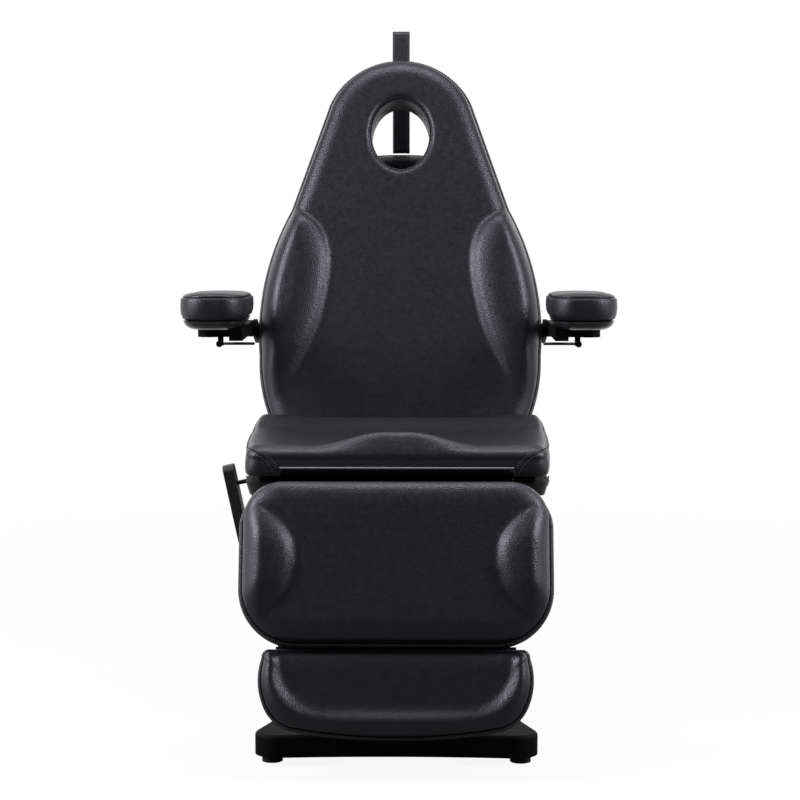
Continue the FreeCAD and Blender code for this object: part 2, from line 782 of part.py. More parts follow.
back_steps = form_steps(cushion_form_shares, back_edge_roll, back_rear_offset, back_cushion_thickness)
back_steps.append((back_edge_roll * crown_inset_share, back_face_offset + back_crown))
back_cushion = padded_form(back_outline, back_steps)
bolster_shares = [
    (1.0, 0.745, 0.785, 0.1), (0.86, 0.59, 0.85, 0.7), (0.69, 0.51, 0.9, 0.95),
    (0.49, 0.52, 0.94, 1.0), (0.25, 0.59, 0.95, 0.8), (0.0, 0.74, 0.94, 0.12),
]
bolster_span = back_bolster_high_s - back_bolster_low_s
bolster_sections = []
for along, inner, outer, high in bolster_shares:
    bolster_sections.append((
        back_bolster_low_s + bolster_span * along, back_half_width * inner, back_half_width * outer,
        back_bolster_height * high))
bolster = ridge(bolster_sections, back_face_offset - back_bolster_height * bolster_sink_share)
back_cushion = fuse(back_cushion, bolster, mirrored(bolster))
back_cushion = back_cushion.cut(face_hole(
    hole_width, hole_height, back_board_rear, back_face_offset + back_bolster_height))
nodes["back_cushion"] = on_back(to_front(back_cushion))

board_inset = back_half_width * (1 - back_board_share)
back_board = Part.Face(back_outline(board_inset, back_board_rear)).extrude(V(0, 0, board_thickness))
back_board = back_board.cut(block(
    -back_half_width, back_half_width, back_bottom_s, back_board_low_s,
    back_board_rear - overrun, back_rear_offset + overrun))
back_board = back_board.cut(face_hole(
    hole_width + 2 * board_hole_clearance, hole_height + 2 * board_hole_clearance,
    back_board_rear - overrun, back_rear_offset + overrun))
nodes["back_board"] = on_back(to_front(back_board))

sleeve_way = bar(
    V(-rail_inner_x, 0, 0), V(rail_inner_x, 0, 0), pivot_tube_diameter + 2 * hinge_clearance)
back_arm = box_tube(
    back_arm_offset - back_arm_width / 2, back_arm_offset + back_arm_width / 2, -back_board_rear,
    back_arm_depth - back_board_rear, 0, back_arm_length, rail_wall, "z").cut(sleeve_way)
nodes["back_frame_arms"] = on_back(both_sides(back_arm))
crossbar_half = back_arm_offset - back_arm_width / 2
nodes["back_crossbar"] = on_back(box_tube(
    -crossbar_half, crossbar_half, -back_board_rear, back_arm_depth - back_board_rear,
    back_crossbar_s, back_crossbar_s + back_crossbar_height, rail_wall, "x"))


# Leg rest, drawn flat with a along -Y and the thickness along Z
def panel_outline(width, top_a, length, radius):
    def outline(inset, height):
        return drawn_in_rect(width, length, radius, inset, height, 0, -top_a - length / 2)
    return outline


def panel_steps(roll, rear, thickness, crown):
    steps = form_steps(cushion_form_shares, roll, rear, thickness)
    steps.append((roll * crown_inset_share, rear + thickness + crown))
    return steps


leg_outline = panel_outline(leg_width, leg_top_a, leg_length, leg_corner_radius)
leg_cushion = padded_form(
    leg_outline, panel_steps(leg_edge_roll, leg_rear_offset, leg_cushion_thickness, leg_crown))
leg_bolster_shares = [
    (0.14, 0.76, 0.82, 0.1), (0.28, 0.69, 0.9, 0.75), (0.46, 0.65, 0.92, 1.0),
    (0.62, 0.67, 0.91, 0.85), (0.8, 0.74, 0.86, 0.1),
]
leg_sections = []
for along, inner, outer, high in leg_bolster_shares:
    leg_sections.append((
        -leg_top_a - leg_length * along, leg_width / 2 * inner, leg_width / 2 * outer,
        leg_bolster_height * high))
bolster = ridge(leg_sections, leg_face_offset - leg_bolster_height * bolster_sink_share)
nodes["leg_cushion"] = on_leg(to_front(fuse(leg_cushion, bolster, mirrored(bolster))))


def flat_board(outline, inset, rear):
    return Part.Face(outline(inset, rear)).extrude(V(0, 0, board_thickness))


leg_board = flat_board(leg_outline, leg_board_inset, leg_board_rear)
nodes["leg_board"] = on_leg(to_front(leg_board))
leg_arm = box_tube(
    leg_arm_offset - leg_arm_width / 2, leg_arm_offset + leg_arm_width / 2, -leg_board_rear,
    leg_arm_depth - leg_board_rear, -leg_arm_length, 0, leg_arm_wall, "z").cut(sleeve_way)
nodes["leg_frame_arms"] = on_leg(both_sides(leg_arm))

# Foot panel on bars that slide in the leg frame arms
foot_outline = panel_outline(foot_panel_width, foot_top_a, foot_panel_length, foot_panel_corner_radius)
foot_pad = padded_form(foot_outline, panel_steps(
    foot_tray_rim * tray_roll_share, leg_rear_offset, foot_panel_thickness, foot_crown))
tray_outline = panel_outline(
    foot_panel_width - 2 * foot_tray_rim, foot_top_a - foot_tray_rim, foot_panel_length,
    foot_panel_corner_radius)
foot_face = leg_rear_offset + foot_panel_thickness
tray = Part.makeLoft([
    tray_outline(foot_tray_depth, foot_face - foot_tray_depth),
    tray_outline(0, foot_face + overrun)], True, True)
nodes["foot_cushion"] = on_leg(to_front(foot_pad.cut(tray)))
foot_board = flat_board(foot_outline, foot_board_inset, leg_board_rear)
nodes["foot_board"] = on_leg(to_front(foot_board))
slide_inset = leg_arm_wall + slide_clearance
slide_end_a = foot_top_a + foot_panel_length - foot_board_inset
slide_bar = block(
    leg_arm_offset - leg_arm_width / 2 + slide_inset, leg_arm_offset + leg_arm_width / 2 - slide_inset,
    slide_inset - leg_board_rear, leg_arm_depth - leg_board_rear - slide_inset,
    -slide_end_a, -slide_bar_start_a)
slide_pad = block(
    leg_arm_offset - leg_arm_width / 2 + slide_inset, leg_arm_offset + leg_arm_width / 2 - slide_inset,
    -leg_board_rear, slide_inset - leg_board_rear, -slide_end_a, -foot_top_a - foot_board_inset)
nodes["foot_slide_bars"] = on_leg(both_sides(fuse(slide_bar, slide_pad)))


# Armrests: bracket and pin on the back, then beam, shell, pad and release lever on each side
def on_back_place(y, z):
    # Place of a point of the side view in the back's own directions: along it and in front of its hinge
    dy = y - back_hinge_y
    dz = z - back_hinge_z
    angle = math.radians(back_rest_angle)
    return dy * math.sin(angle) + dz * math.cos(angle), dz * math.sin(angle) - dy * math.cos(angle)


arm_pivot_s, arm_pivot_n = on_back_place(arm_pivot_y, arm_pivot_z)
bracket_side_x = back_half_width + arm_bracket_side_gap
bracket_outer_x = bracket_side_x + arm_bracket_thickness
bracket_low_s = arm_pivot_s - arm_bracket_height / 2
bracket_high_s = arm_pivot_s + arm_bracket_height / 2
bracket_rear_y = arm_bracket_thickness - back_board_rear
bracket_eye = bar(
    V(bracket_side_x, -arm_pivot_n, arm_pivot_s), V(bracket_outer_x, -arm_pivot_n, arm_pivot_s),
    arm_bracket_height)
bracket = fuse(
    block(
        arm_bracket_inner_x, bracket_outer_x, -back_board_rear, bracket_rear_y,
        bracket_low_s, bracket_high_s),
    block(bracket_side_x, bracket_outer_x, -arm_pivot_n, bracket_rear_y, bracket_low_s, bracket_high_s),
    bracket_eye)
hub_inner_x = bracket_outer_x + arm_hub_gap
hub_outer_x = hub_inner_x + arm_beam_width
pin_way = bar(
    V(bracket_side_x - overrun, arm_pivot_y, arm_pivot_z), V(hub_outer_x + overrun, arm_pivot_y, arm_pivot_z),
    arm_pin_diameter + 2 * hinge_clearance)
bracket = on_back(bracket).cut(pin_way)
nodes["arm_brackets"] = both_sides(bracket)
arm_pin = bar(
    V(bracket_side_x, arm_pivot_y, arm_pivot_z), V(hub_outer_x, arm_pivot_y, arm_pivot_z), arm_pin_diameter)
nodes["arm_pins"] = both_sides(arm_pin)

arm_middle_x = (arm_inner_x + arm_outer_x) / 2
arm_middle_y = (arm_front_y + arm_rear_y) / 2


def arm_outline(inset, height):
    return drawn_in_rect(
        arm_outer_x - arm_inner_x, arm_rear_y - arm_front_y, arm_end_radius, inset, height,
        arm_middle_x, arm_middle_y)


arm_steps = form_steps(cushion_form_shares, arm_roll, arm_pad_bottom_z, arm_pad_thickness)
arm_steps.append((arm_roll * arm_crown_share, arm_pad_bottom_z + arm_pad_thickness + arm_pad_crown))
arm_pad = padded_form(arm_outline, arm_steps)
shell_form_shares = [(1.0, 0.0), (0.55, 0.2), (0.25, 0.45), (0.07, 0.75), (0.0, 1.0)]
shell_steps = form_steps(shell_form_shares, arm_shell_thickness, shell_bottom_z, arm_shell_thickness)
arm_shell = padded_form(arm_outline, [(arm_shell_inset + inset, height) for inset, height in shell_steps])
beam_low_z = shell_bottom_z - arm_beam_depth
hub = bar(
    V(hub_inner_x, arm_pivot_y, arm_pivot_z), V(hub_outer_x, arm_pivot_y, arm_pivot_z), arm_hub_diameter)
beam = block(hub_inner_x, hub_outer_x, arm_beam_front_y, arm_pivot_y, beam_low_z, shell_bottom_z)
boss_x = arm_middle_x + arm_beam_width / 2
boss_low_z = beam_low_z + lever_axle_diameter
boss = bar(V(boss_x, lever_axis_y, boss_low_z), V(boss_x, lever_axis_y, shell_bottom_z), arm_boss_diameter)
lever_half = lever_plate_width / 2
cross_piece = block(
    hub_outer_x, boss_x, lever_axis_y - lever_half, lever_axis_y + lever_half, boss_low_z, shell_bottom_z)
lever_z = beam_low_z - lever_drop
ear_half = lever_axle_diameter
ear = block(
    lever_axis_x - ear_half, lever_axis_x + ear_half, lever_axis_y + lever_half + arm_hub_gap,
    lever_axis_y + lever_half + arm_hub_gap + lever_axle_diameter, lever_z - ear_half, shell_bottom_z)
axle = bar(
    V(lever_axis_x, lever_axis_y - lever_half, lever_z),
    V(lever_axis_x, lever_axis_y + lever_half + arm_hub_gap, lever_z), lever_axle_diameter)
beam = fuse(hub, beam, boss, cross_piece, ear, axle).cut(pin_way)
lever_boss = bar(
    V(lever_axis_x, lever_axis_y - lever_half, lever_z), V(lever_axis_x, lever_axis_y + lever_half, lever_z),
    lever_boss_diameter)
lever_plate = block(
    lever_axis_x - lever_plate_length, lever_axis_x, lever_axis_y - lever_half, lever_axis_y + lever_half,
    lever_z - lever_plate_thickness / 2, lever_z + lever_plate_thickness / 2)
lever = fuse(lever_boss, lever_plate).cut(bar(
    V(lever_axis_x, lever_axis_y - lever_plate_width, lever_z),
    V(lever_axis_x, lever_axis_y + lever_plate_width, lever_z), lever_axle_diameter + 2 * hinge_clearance))
for side, turn in (("right", lambda shape: shape), ("left", mirrored)):
    nodes["arm_beam_" + side] = turn(beam)
    nodes["arm_shell_" + side] = turn(arm_shell)
    nodes["arm_pad_" + side] = turn(arm_pad)
    nodes["arm_lever_" + side] = turn(lever)


# Strap over the top of the back, with the head pillow hanging behind
def back_point(s, n):
    angle = math.radians(back_rest_angle)
    return V(0, back_hinge_y + s * math.sin(angle) - n * math.cos(angle),
             back_hinge_z + s * math.cos(angle) + n * math.sin(angle))


strap_n = back_board_rear - strap_thickness / 2
strap_start = back_point(strap_low_s, strap_n)
bend_start = back_point(strap_high_s, strap_n)
bend_centre = back_point(strap_high_s, strap_n - strap_bend_radius)
bend_end = bend_centre + V(0, strap_bend_radius, 0)
bend_side = ((bend_start - bend_centre) + (bend_end - bend_centre)).normalize() * strap_bend_radius
strap_end = V(0, bend_end.y, pillow_top_z + strap_gap)
strap_path = Part.Wire([
    Part.LineSegment(strap_start, bend_start).toShape(),
    Part.Arc(bend_start, bend_centre + bend_side, bend_end).toShape(),
    Part.LineSegment(bend_end, strap_end).toShape()])
strap_section = Part.makePlane(strap_width, strap_thickness, V(-strap_width / 2, -strap_thickness / 2, 0))
strap_section.rotate(origin, axis_x, -back_rest_angle)
strap_section.translate(strap_start)
nodes["pillow_strap"] = strap_path.makePipeShell([strap_section.OuterWire], True, False)


def pillow_outline(inset, height):
    return drawn_in_rect(
        pillow_width, pillow_height, pillow_corner_radius, inset, height, 0, pillow_top_z - pillow_height / 2)


pillow_form_shares = [
    (1.0, -0.5), (0.42, -0.42), (0.1, -0.25), (0.0, 0.0), (0.1, 0.25), (0.42, 0.42), (1.0, 0.5)]
pillow = to_front(padded_form(
    pillow_outline, form_steps(pillow_form_shares, pillow_roll, 0, pillow_thickness)))
pillow.translate(V(0, bend_end.y, 0))
nodes["head_pillow"] = pillow


# Handset on its hook, drawn upright with its top at the origin and its keys looking along -X
def on_handset(shape):
    shape.rotate(origin, axis_y, -handset_tilt)
    shape.translate(V(handset_top_x, handset_y, handset_top_z))
    return shape


handset_half = handset_thickness / 2
handset_wire = rounded_rect(handset_length, handset_width, handset_corner_radius, 0, handset_length / 2, 0)
handset_face = Part.Face(handset_wire)
handset_face.rotate(origin, axis_y, 90)
front_shell = handset_face.extrude(V(-handset_half, 0, 0))
back_shell = handset_face.extrude(V(handset_half, 0, 0))
rod_root = V(handset_half, 0, -handset_rod_drop)
rod_tip = rod_root + V(handset_rod_length, 0, 0)
back_shell = fuse(back_shell, bar(rod_root - V(handset_half / 2, 0, 0), rod_tip, handset_rod_diameter))
key_face_x = -handset_half - key_height / 2
key_root_x = key_face_x + key_height
key_axis_x = (key_face_x + key_root_x) / 2
for index in range(key_count):
    key_z = -key_top_gap - key_pitch * index
    key = block(
        key_face_x, key_root_x, -key_width / 2, key_width / 2, key_z - key_length / 2, key_z + key_length / 2)
    axle_half = key_width / 2 + key_axle_diameter
    axle = bar(V(key_axis_x, -axle_half, key_z), V(key_axis_x, axle_half, key_z), key_axle_diameter)
    pocket = block(
        -handset_half - key_height, key_root_x + key_rock_drop,
        -key_width / 2 - key_clearance, key_width / 2 + key_clearance,
        key_z - key_length / 2 - key_clearance, key_z + key_length / 2 + key_clearance)
    bearing = bar(
        V(key_axis_x, -axle_half - key_clearance, key_z), V(key_axis_x, axle_half + key_clearance, key_z),
        key_axle_diameter + 2 * hinge_clearance)
    front_shell = front_shell.cut(pocket).cut(bearing)
    nodes["rocker_key_" + str(index + 1)] = on_handset(fuse(key, axle))
nodes["handset_front"] = on_handset(front_shell)
nodes["handset_back"] = on_handset(back_shell)

# Chrome eyes on the sides of the seat pan; the handset's rod rests in the left one
tilt = math.radians(handset_tilt)
root_x = handset_top_x + rod_root.x * math.cos(tilt) - rod_root.z * math.sin(tilt)
root_z = handset_top_z + rod_root.x * math.sin(tilt) + rod_root.z * math.cos(tilt)
eye_rod_z = root_z + (-hook_x - root_x) * math.tan(tilt)
eye_play = hook_loop_radius - (hook_wire_diameter + handset_rod_diameter) / 2 - hook_seat_gap
eye_centre = V(-hook_x, handset_y, eye_rod_z + eye_play)
eye_axis = V(math.cos(tilt), 0, math.sin(tilt))
eye = Part.makeTorus(hook_loop_radius, hook_wire_diameter / 2, eye_centre, eye_axis)
shank_z = eye_centre.z - hook_loop_radius
shank_end = V(-hook_x + hook_shank_length, handset_y, shank_z)
shank = bar(V(-hook_x, handset_y, shank_z), shank_end, hook_shank_diameter)
eye = fuse(eye, shank).cut(pan)
nodes["chrome_hooks"] = both_sides(eye)

# Handset cable from the handset's lower end to the socket under the seat pan
nodes["cable_socket"] = bar(
    V(socket_x, socket_y, rail_top_z - socket_height), V(socket_x, socket_y, rail_top_z), socket_diameter)


def cord_tube(points, diameter):
    edges = []
    radii = []
    last = points[0]
    length = 0
    for before, corner, after in zip(points, points[1:], points[2:]):
        run_in = corner - before
        run_out = after - corner
        turn = run_in.getAngle(run_out)
        cut_back = cord_arc_share * min(run_in.Length, run_out.Length)
        radius = cut_back / math.tan(turn / 2)
        arc_start = corner - run_in.normalize() * cut_back
        arc_end = corner + run_out.normalize() * cut_back
        to_centre = (run_out - run_in).normalize()
        arc_middle = corner + to_centre * (radius / math.cos(turn / 2) - radius)
        edges.append(Part.LineSegment(last, arc_start).toShape())
        edges.append(Part.Arc(arc_start, arc_middle, arc_end).toShape())
        length += (arc_start - last).Length + radius * turn
        radii.append(round(radius, 1))
        last = arc_end
    edges.append(Part.LineSegment(last, points[-1]).toShape())
    length += (points[-1] - last).Length
    section = Part.makeCircle(diameter / 2, points[0], points[1] - points[0])
    tube = Part.Wire(edges).makePipeShell([Part.Wire([section])], True, False)
    print("cable radii", radii)
    section_area = section.Length ** 2 / (4 * math.pi)
    print("cable length", round(length, 1), "volume share", round(tube.Volume / (section_area * length), 4))
    return tube


nodes["handset_cable"] = cord_tube([V(*point) for point in cable_points], cable_diameter)

# The origin is the middle of the footprint on the floor
lows = []
highs = []
for name, shape in nodes.items():
    if name != "handset_cable":
        heights = [vertex.y for vertex in shape.tessellate(1)[0]]
        lows.append(min(heights))
        highs.append(max(heights))
shift_y = -(min(lows) + max(highs)) / 2
print("shift along Y", round(shift_y, 4))
os.makedirs("parts", exist_ok=True)
for name, shape in nodes.items():
    shape.translate(V(0, shift_y, 0))
    shape.exportStep("parts/" + name + ".step")
    if not shape.isValid():
        print("not valid:", name)
print("nodes", len(nodes))
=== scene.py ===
import bmesh
import bpy
import json
import math
import numpy as np
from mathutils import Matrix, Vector
from mathutils.bvhtree import BVHTree
from mathutils.geometry import delaunay_2d_cdt
from mathutils.kdtree import KDTree


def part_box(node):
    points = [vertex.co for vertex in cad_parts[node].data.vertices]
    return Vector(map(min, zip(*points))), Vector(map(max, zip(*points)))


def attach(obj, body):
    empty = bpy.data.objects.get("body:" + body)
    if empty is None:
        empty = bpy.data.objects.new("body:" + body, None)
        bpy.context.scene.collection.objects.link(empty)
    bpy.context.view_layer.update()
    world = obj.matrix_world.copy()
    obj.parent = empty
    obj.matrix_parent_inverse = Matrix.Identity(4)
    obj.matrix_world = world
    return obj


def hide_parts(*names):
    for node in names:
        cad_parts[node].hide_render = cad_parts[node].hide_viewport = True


# Electric treatment chair: black upholstered panels on a lift column, lengths below in millimetres
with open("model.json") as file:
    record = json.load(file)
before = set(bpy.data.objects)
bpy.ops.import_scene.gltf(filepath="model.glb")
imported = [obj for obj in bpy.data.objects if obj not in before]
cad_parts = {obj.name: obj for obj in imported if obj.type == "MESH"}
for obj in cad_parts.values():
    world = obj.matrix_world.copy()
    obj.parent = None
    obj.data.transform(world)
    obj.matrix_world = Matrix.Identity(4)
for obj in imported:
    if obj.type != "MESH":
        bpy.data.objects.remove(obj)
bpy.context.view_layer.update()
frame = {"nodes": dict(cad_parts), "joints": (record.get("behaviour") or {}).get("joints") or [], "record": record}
nodes = frame["nodes"]
jointAt = {j["name"]: Vector(j["pos_m"]) for j in frame["joints"] if j.get("pos_m")}
backHinge = jointAt["back_recline"]
legHinge = jointAt["leg_lift"]
mm = 0.001
print("frame:", len(nodes), "nodes")


# Materials
def hexLinear(code):
    parts = [int(code[i:i + 2], 16) / 255 for i in (1, 3, 5)]
    return [p / 12.92 if p <= 0.04045 else ((p + 0.055) / 1.055) ** 2.4 for p in parts] + [1.0]


def addNode(tree, kind, inputs=None, **settings):
    made = tree.nodes.new(kind)
    for key, value in settings.items():
        setattr(made, key, value)
    for key, value in (inputs or {}).items():
        if isinstance(value, bpy.types.NodeSocket):
            tree.links.new(value, made.inputs[key])
        else:
            made.inputs[key].default_value = value
    return made


def newMaterial(name):
    material = bpy.data.materials.new(name)
    material.use_nodes = True
    material.node_tree.nodes.clear()
    return material, material.node_tree


def perMetre(sizeMm):
    return 1 / (sizeMm * mm)


# Colour, roughness and relief shared by the finishes: a fine grain, a broad cloudiness and one bump
def grainedFinish(name, look):
    material, tree = newMaterial(name)
    place = addNode(tree, "ShaderNodeTexCoord").outputs["Object"]
    if "stretch" in look:
        place = addNode(tree, "ShaderNodeMapping", {"Vector": place, "Scale": look["stretch"]}).outputs[0]
    cloud = addNode(tree, "ShaderNodeTexNoise",
                    {"Vector": place, "Scale": perMetre(look["cloudMm"]), "Detail": 3.0}).outputs["Fac"]
    if look.get("pebbled"):
        grain = addNode(tree, "ShaderNodeTexVoronoi",
                        {"Vector": place, "Scale": perMetre(look["grainMm"])}).outputs["Distance"]
    else:
        grain = addNode(tree, "ShaderNodeTexNoise",
                        {"Vector": place, "Scale": perMetre(look["grainMm"]), "Detail": 2.0}).outputs["Fac"]
    colour = addNode(tree, "ShaderNodeMix",
                     {0: cloud, 6: hexLinear(look["colour"]), 7: hexLinear(look["worn"])}, data_type="RGBA")
    rough = addNode(tree, "ShaderNodeMapRange",
                    {"Value": cloud, "From Min": 0.3, "From Max": 0.7,
                     "To Min": look["rough"][0], "To Max": look["rough"][1]})
    bump = addNode(tree, "ShaderNodeBump",
                   {"Height": grain, "Strength": look["bump"], "Distance": look["bumpMm"] * mm})
    shader = addNode(tree, "ShaderNodeBsdfPrincipled",
                     {"Base Color": colour.outputs[2], "Roughness": rough.outputs[0],
                      "Normal": bump.outputs[0], "Metallic": look.get("metallic", 0.0)})
    if "ior" in look:
        shader.inputs["IOR"].default_value = look["ior"]
    if "gleam" in look:
        shader.inputs["Specular IOR Level"].default_value = look["gleam"]
    if "tint" in look:
        shader.inputs["Specular Tint"].default_value = look["tint"]
    addNode(tree, "ShaderNodeOutputMaterial", {"Surface": shader.outputs[0]})
    return material


# Leather-look upholstery: soft sheen from a pebbled, pressed grain
# The pebble is drawn coarse so that it shows
leather = grainedFinish("pressedLeather", {
    "colour": "#131216", "worn": "#18171d", "cloudMm": 12, "grainMm": 3.0, "pebbled": True,
    "rough": (0.36, 0.43), "bump": 0.5, "bumpMm": 0.8, "ior": 1.58, "tint": (0.9, 0.87, 1.0, 1.0)})
# Seam between two hides as painted shade: a dark, dull line that stands in for the shade in the crease the thread
# pulls in
seamShade = grainedFinish("paintedSeamShade", {
    "colour": "#040405", "worn": "#070708", "cloudMm": 20, "grainMm": 1.5,
    "rough": (0.75, 0.85), "bump": 0.2, "bumpMm": 0.2, "ior": 1.45})
# Welt along the seat's front edge: a smooth vinyl cord, its light grey a painted highlight of the light from above
weltHighlight = grainedFinish("weltHighlight", {
    "colour": "#75757b", "worn": "#828288", "cloudMm": 30, "grainMm": 4.0,
    "rough": (0.25, 0.33), "bump": 0.05, "bumpMm": 0.2, "ior": 1.5})
# Powder coat: sprayed satin skin with a faint orange peel
powderCoat = grainedFinish("satinPowderCoat", {
    "colour": "#070708", "worn": "#0b0b0c", "cloudMm": 120, "grainMm": 1.6,
    "rough": (0.6, 0.7), "bump": 0.12, "bumpMm": 0.3, "ior": 1.45, "gleam": 0.1})
# Moulded ABS housings: spark-eroded mould texture
mouldedAbs = grainedFinish("mouldedAbs", {
    "colour": "#141415", "worn": "#19191a", "cloudMm": 60, "grainMm": 0.9,
    "rough": (0.42, 0.52), "bump": 0.18, "bumpMm": 0.2, "ior": 1.52})
# Polished moulding of the arm shells: mirror-like with slow waves
glossAbs = grainedFinish("polishedAbs", {
    "colour": "#202023", "worn": "#29292d", "cloudMm": 40, "grainMm": 9.0,
    "rough": (0.16, 0.24), "bump": 0.06, "bumpMm": 0.3, "ior": 1.56})
# Rocker keys: grey moulded plastic, dull from touching
keyPlastic = grainedFinish("mouldedKeyPlastic", {
    "colour": "#5c5d60", "worn": "#66676a", "cloudMm": 12, "grainMm": 0.7,
    "rough": (0.42, 0.5), "bump": 0.15, "bumpMm": 0.15, "ior": 1.5})
# Bright chrome plate on wire: nearly a mirror, faint polishing haze
chromePlate = grainedFinish("chromePlate", {
    "colour": "#dcdde0", "worn": "#cfd0d4", "cloudMm": 9, "grainMm": 3.0,
    "rough": (0.05, 0.12), "bump": 0.03, "bumpMm": 0.1, "metallic": 1.0})
# Ground steel bars and pins: fine lines along the grinding
groundSteel = grainedFinish("groundSteel", {
    "colour": "#a9abae", "worn": "#8f9194", "cloudMm": 30, "grainMm": 0.8, "stretch": (1.0, 6.0, 6.0),
    "rough": (0.28, 0.42), "bump": 0.12, "bumpMm": 0.1, "metallic": 1.0})
# Rubber of the feet and the cable: dull, with a dusty bloom
softRubber = grainedFinish("mouldedRubber", {
    "colour": "#0e0e0e", "worn": "#161616", "cloudMm": 25, "grainMm": 0.8,
    "rough": (0.6, 0.75), "bump": 0.2, "bumpMm": 0.2, "ior": 1.5})
# Black-oxide steel: dark, slightly oily bars
blackSteel = grainedFinish("blackOxideSteel", {
    "colour": "#1a1a1c", "worn": "#242426", "cloudMm": 30, "grainMm": 0.8,
    "rough": (0.34, 0.45), "bump": 0.1, "bumpMm": 0.1, "metallic": 0.8})
# Polyester thread: lighter than the leather, with a slight shine
sewingThread = grainedFinish("polyesterThread", {
    "colour": "#46464c", "worn": "#56565c", "cloudMm": 6, "grainMm": 0.5,
    "rough": (0.5, 0.6), "bump": 0.3, "bumpMm": 0.1, "ior": 1.5})


# Lining cloth over the plywood boards: a dull plain weave, its repeat drawn coarse so that it shows
def liningCloth(look):
    material, tree = newMaterial("liningCloth")
    place = addNode(tree, "ShaderNodeTexCoord").outputs["Object"]
    scale = perMetre(look["repeatMm"]) * math.pi / 10  # at scale 1 the waves repeat every pi / 10
    waves = []
    for direction in ("X", "Z"):
        waves.append(addNode(tree, "ShaderNodeTexWave", {"Vector": place, "Scale": scale, "Distortion": 0.4},
                             bands_direction=direction).outputs["Fac"])
    weave = addNode(tree, "ShaderNodeMath", {0: waves[0], 1: waves[1]}, operation="MULTIPLY").outputs[0]
    colour = addNode(tree, "ShaderNodeMix",
                     {0: weave, 6: hexLinear(look["colour"]), 7: hexLinear(look["raised"])}, data_type="RGBA")
    bump = addNode(tree, "ShaderNodeBump",
                   {"Height": weave, "Strength": look["bump"], "Distance": look["bumpMm"] * mm})
    shader = addNode(tree, "ShaderNodeBsdfPrincipled",
                     {"Base Color": colour.outputs[2], "Roughness": look["rough"], "Normal": bump.outputs[0]})
    addNode(tree, "ShaderNodeOutputMaterial", {"Surface": shader.outputs[0]})
    return material


lining = liningCloth({"colour": "#0d0d0e", "raised": "#1d1d1f", "repeatMm": 5.0265, "rough": 0.85,
                      "bump": 0.4, "bumpMm": 0.3})
finishOf = {
    "leather": leather, "webbing": leather, "plywood": lining, "rubber": softRubber,
    "base_paint": powderCoat, "frame_paint": powderCoat, "steel": groundSteel, "chrome": chromePlate,
    "housing_plastic": mouldedAbs, "shell_plastic": glossAbs, "key_plastic": keyPlastic}
for part in frame["record"]["subparts"]:
    mesh = nodes[part["node"]].data
    mesh.materials.clear()
    mesh.materials.append(finishOf[part["material_slot"]])
for name in ("foot_slide_bars", "arm_lever_left", "arm_lever_right", "arm_pins"):
    nodes[name].data.materials[0] = blackSteel
print("materials:", len(finishOf), "slots dressed")


# Meshes
def meshObject(name, verts, faces, material):
    mesh = bpy.data.meshes.new(name)
    mesh.from_pydata([tuple(v) for v in verts], [], faces)
    mesh.materials.append(material)
    piece = bpy.data.objects.new(name, mesh)
    bpy.context.scene.collection.objects.link(piece)
    form = bmesh.new()
    form.from_mesh(mesh)
    bmesh.ops.recalc_face_normals(form, faces=form.faces)
    form.to_mesh(mesh)
    form.free()
    mesh.shade_smooth()
    return piece


def settle(piece, body, slotName, *replaced):
    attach(piece, body)
    if replaced:
        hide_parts(*replaced)


# Quads between neighbouring closed rings of points
def bandFaces(rings, count, first=0):
    faces = []
    for near in range(first, first + (rings - 1) * count, count):
        far = near + count
        for i in range(count):
            j = (i + 1) % count
            faces.append((near + i, near + j, far + j, far + i))
    return faces


def skinOf(piece):
    mesh = piece.data
    return BVHTree.FromPolygons([v.co for v in mesh.vertices], [tuple(p.vertices) for p in mesh.polygons])


def asMesh(source, name, material):
    bpy.context.view_layer.update()
    evaluated = source.evaluated_get(bpy.context.evaluated_depsgraph_get())
    mesh = bpy.data.meshes.new_from_object(evaluated)
    mesh.name = name
    mesh.materials.clear()
    mesh.materials.append(material)
    piece = bpy.data.objects.new(name, mesh)
    bpy.context.scene.collection.objects.link(piece)
    bpy.data.objects.remove(source)
    mesh.shade_smooth()
    return piece


def pathCurve(name, paths, closed, radius=0.0):
    curve = bpy.data.curves.new(name, "CURVE")
    curve.dimensions = "3D"
    curve.bevel_depth = radius
    curve.bevel_resolution = 2
    curve.use_fill_caps = True
    for path in paths:
        spline = curve.splines.new("POLY")
        spline.points.add(len(path) - 1)
        for point, place in zip(spline.points, path):
            point.co = (*place, 1.0)
        spline.use_cyclic_u = closed
    holder = bpy.data.objects.new(name, curve)
    bpy.context.scene.collection.objects.link(holder)
    return holder


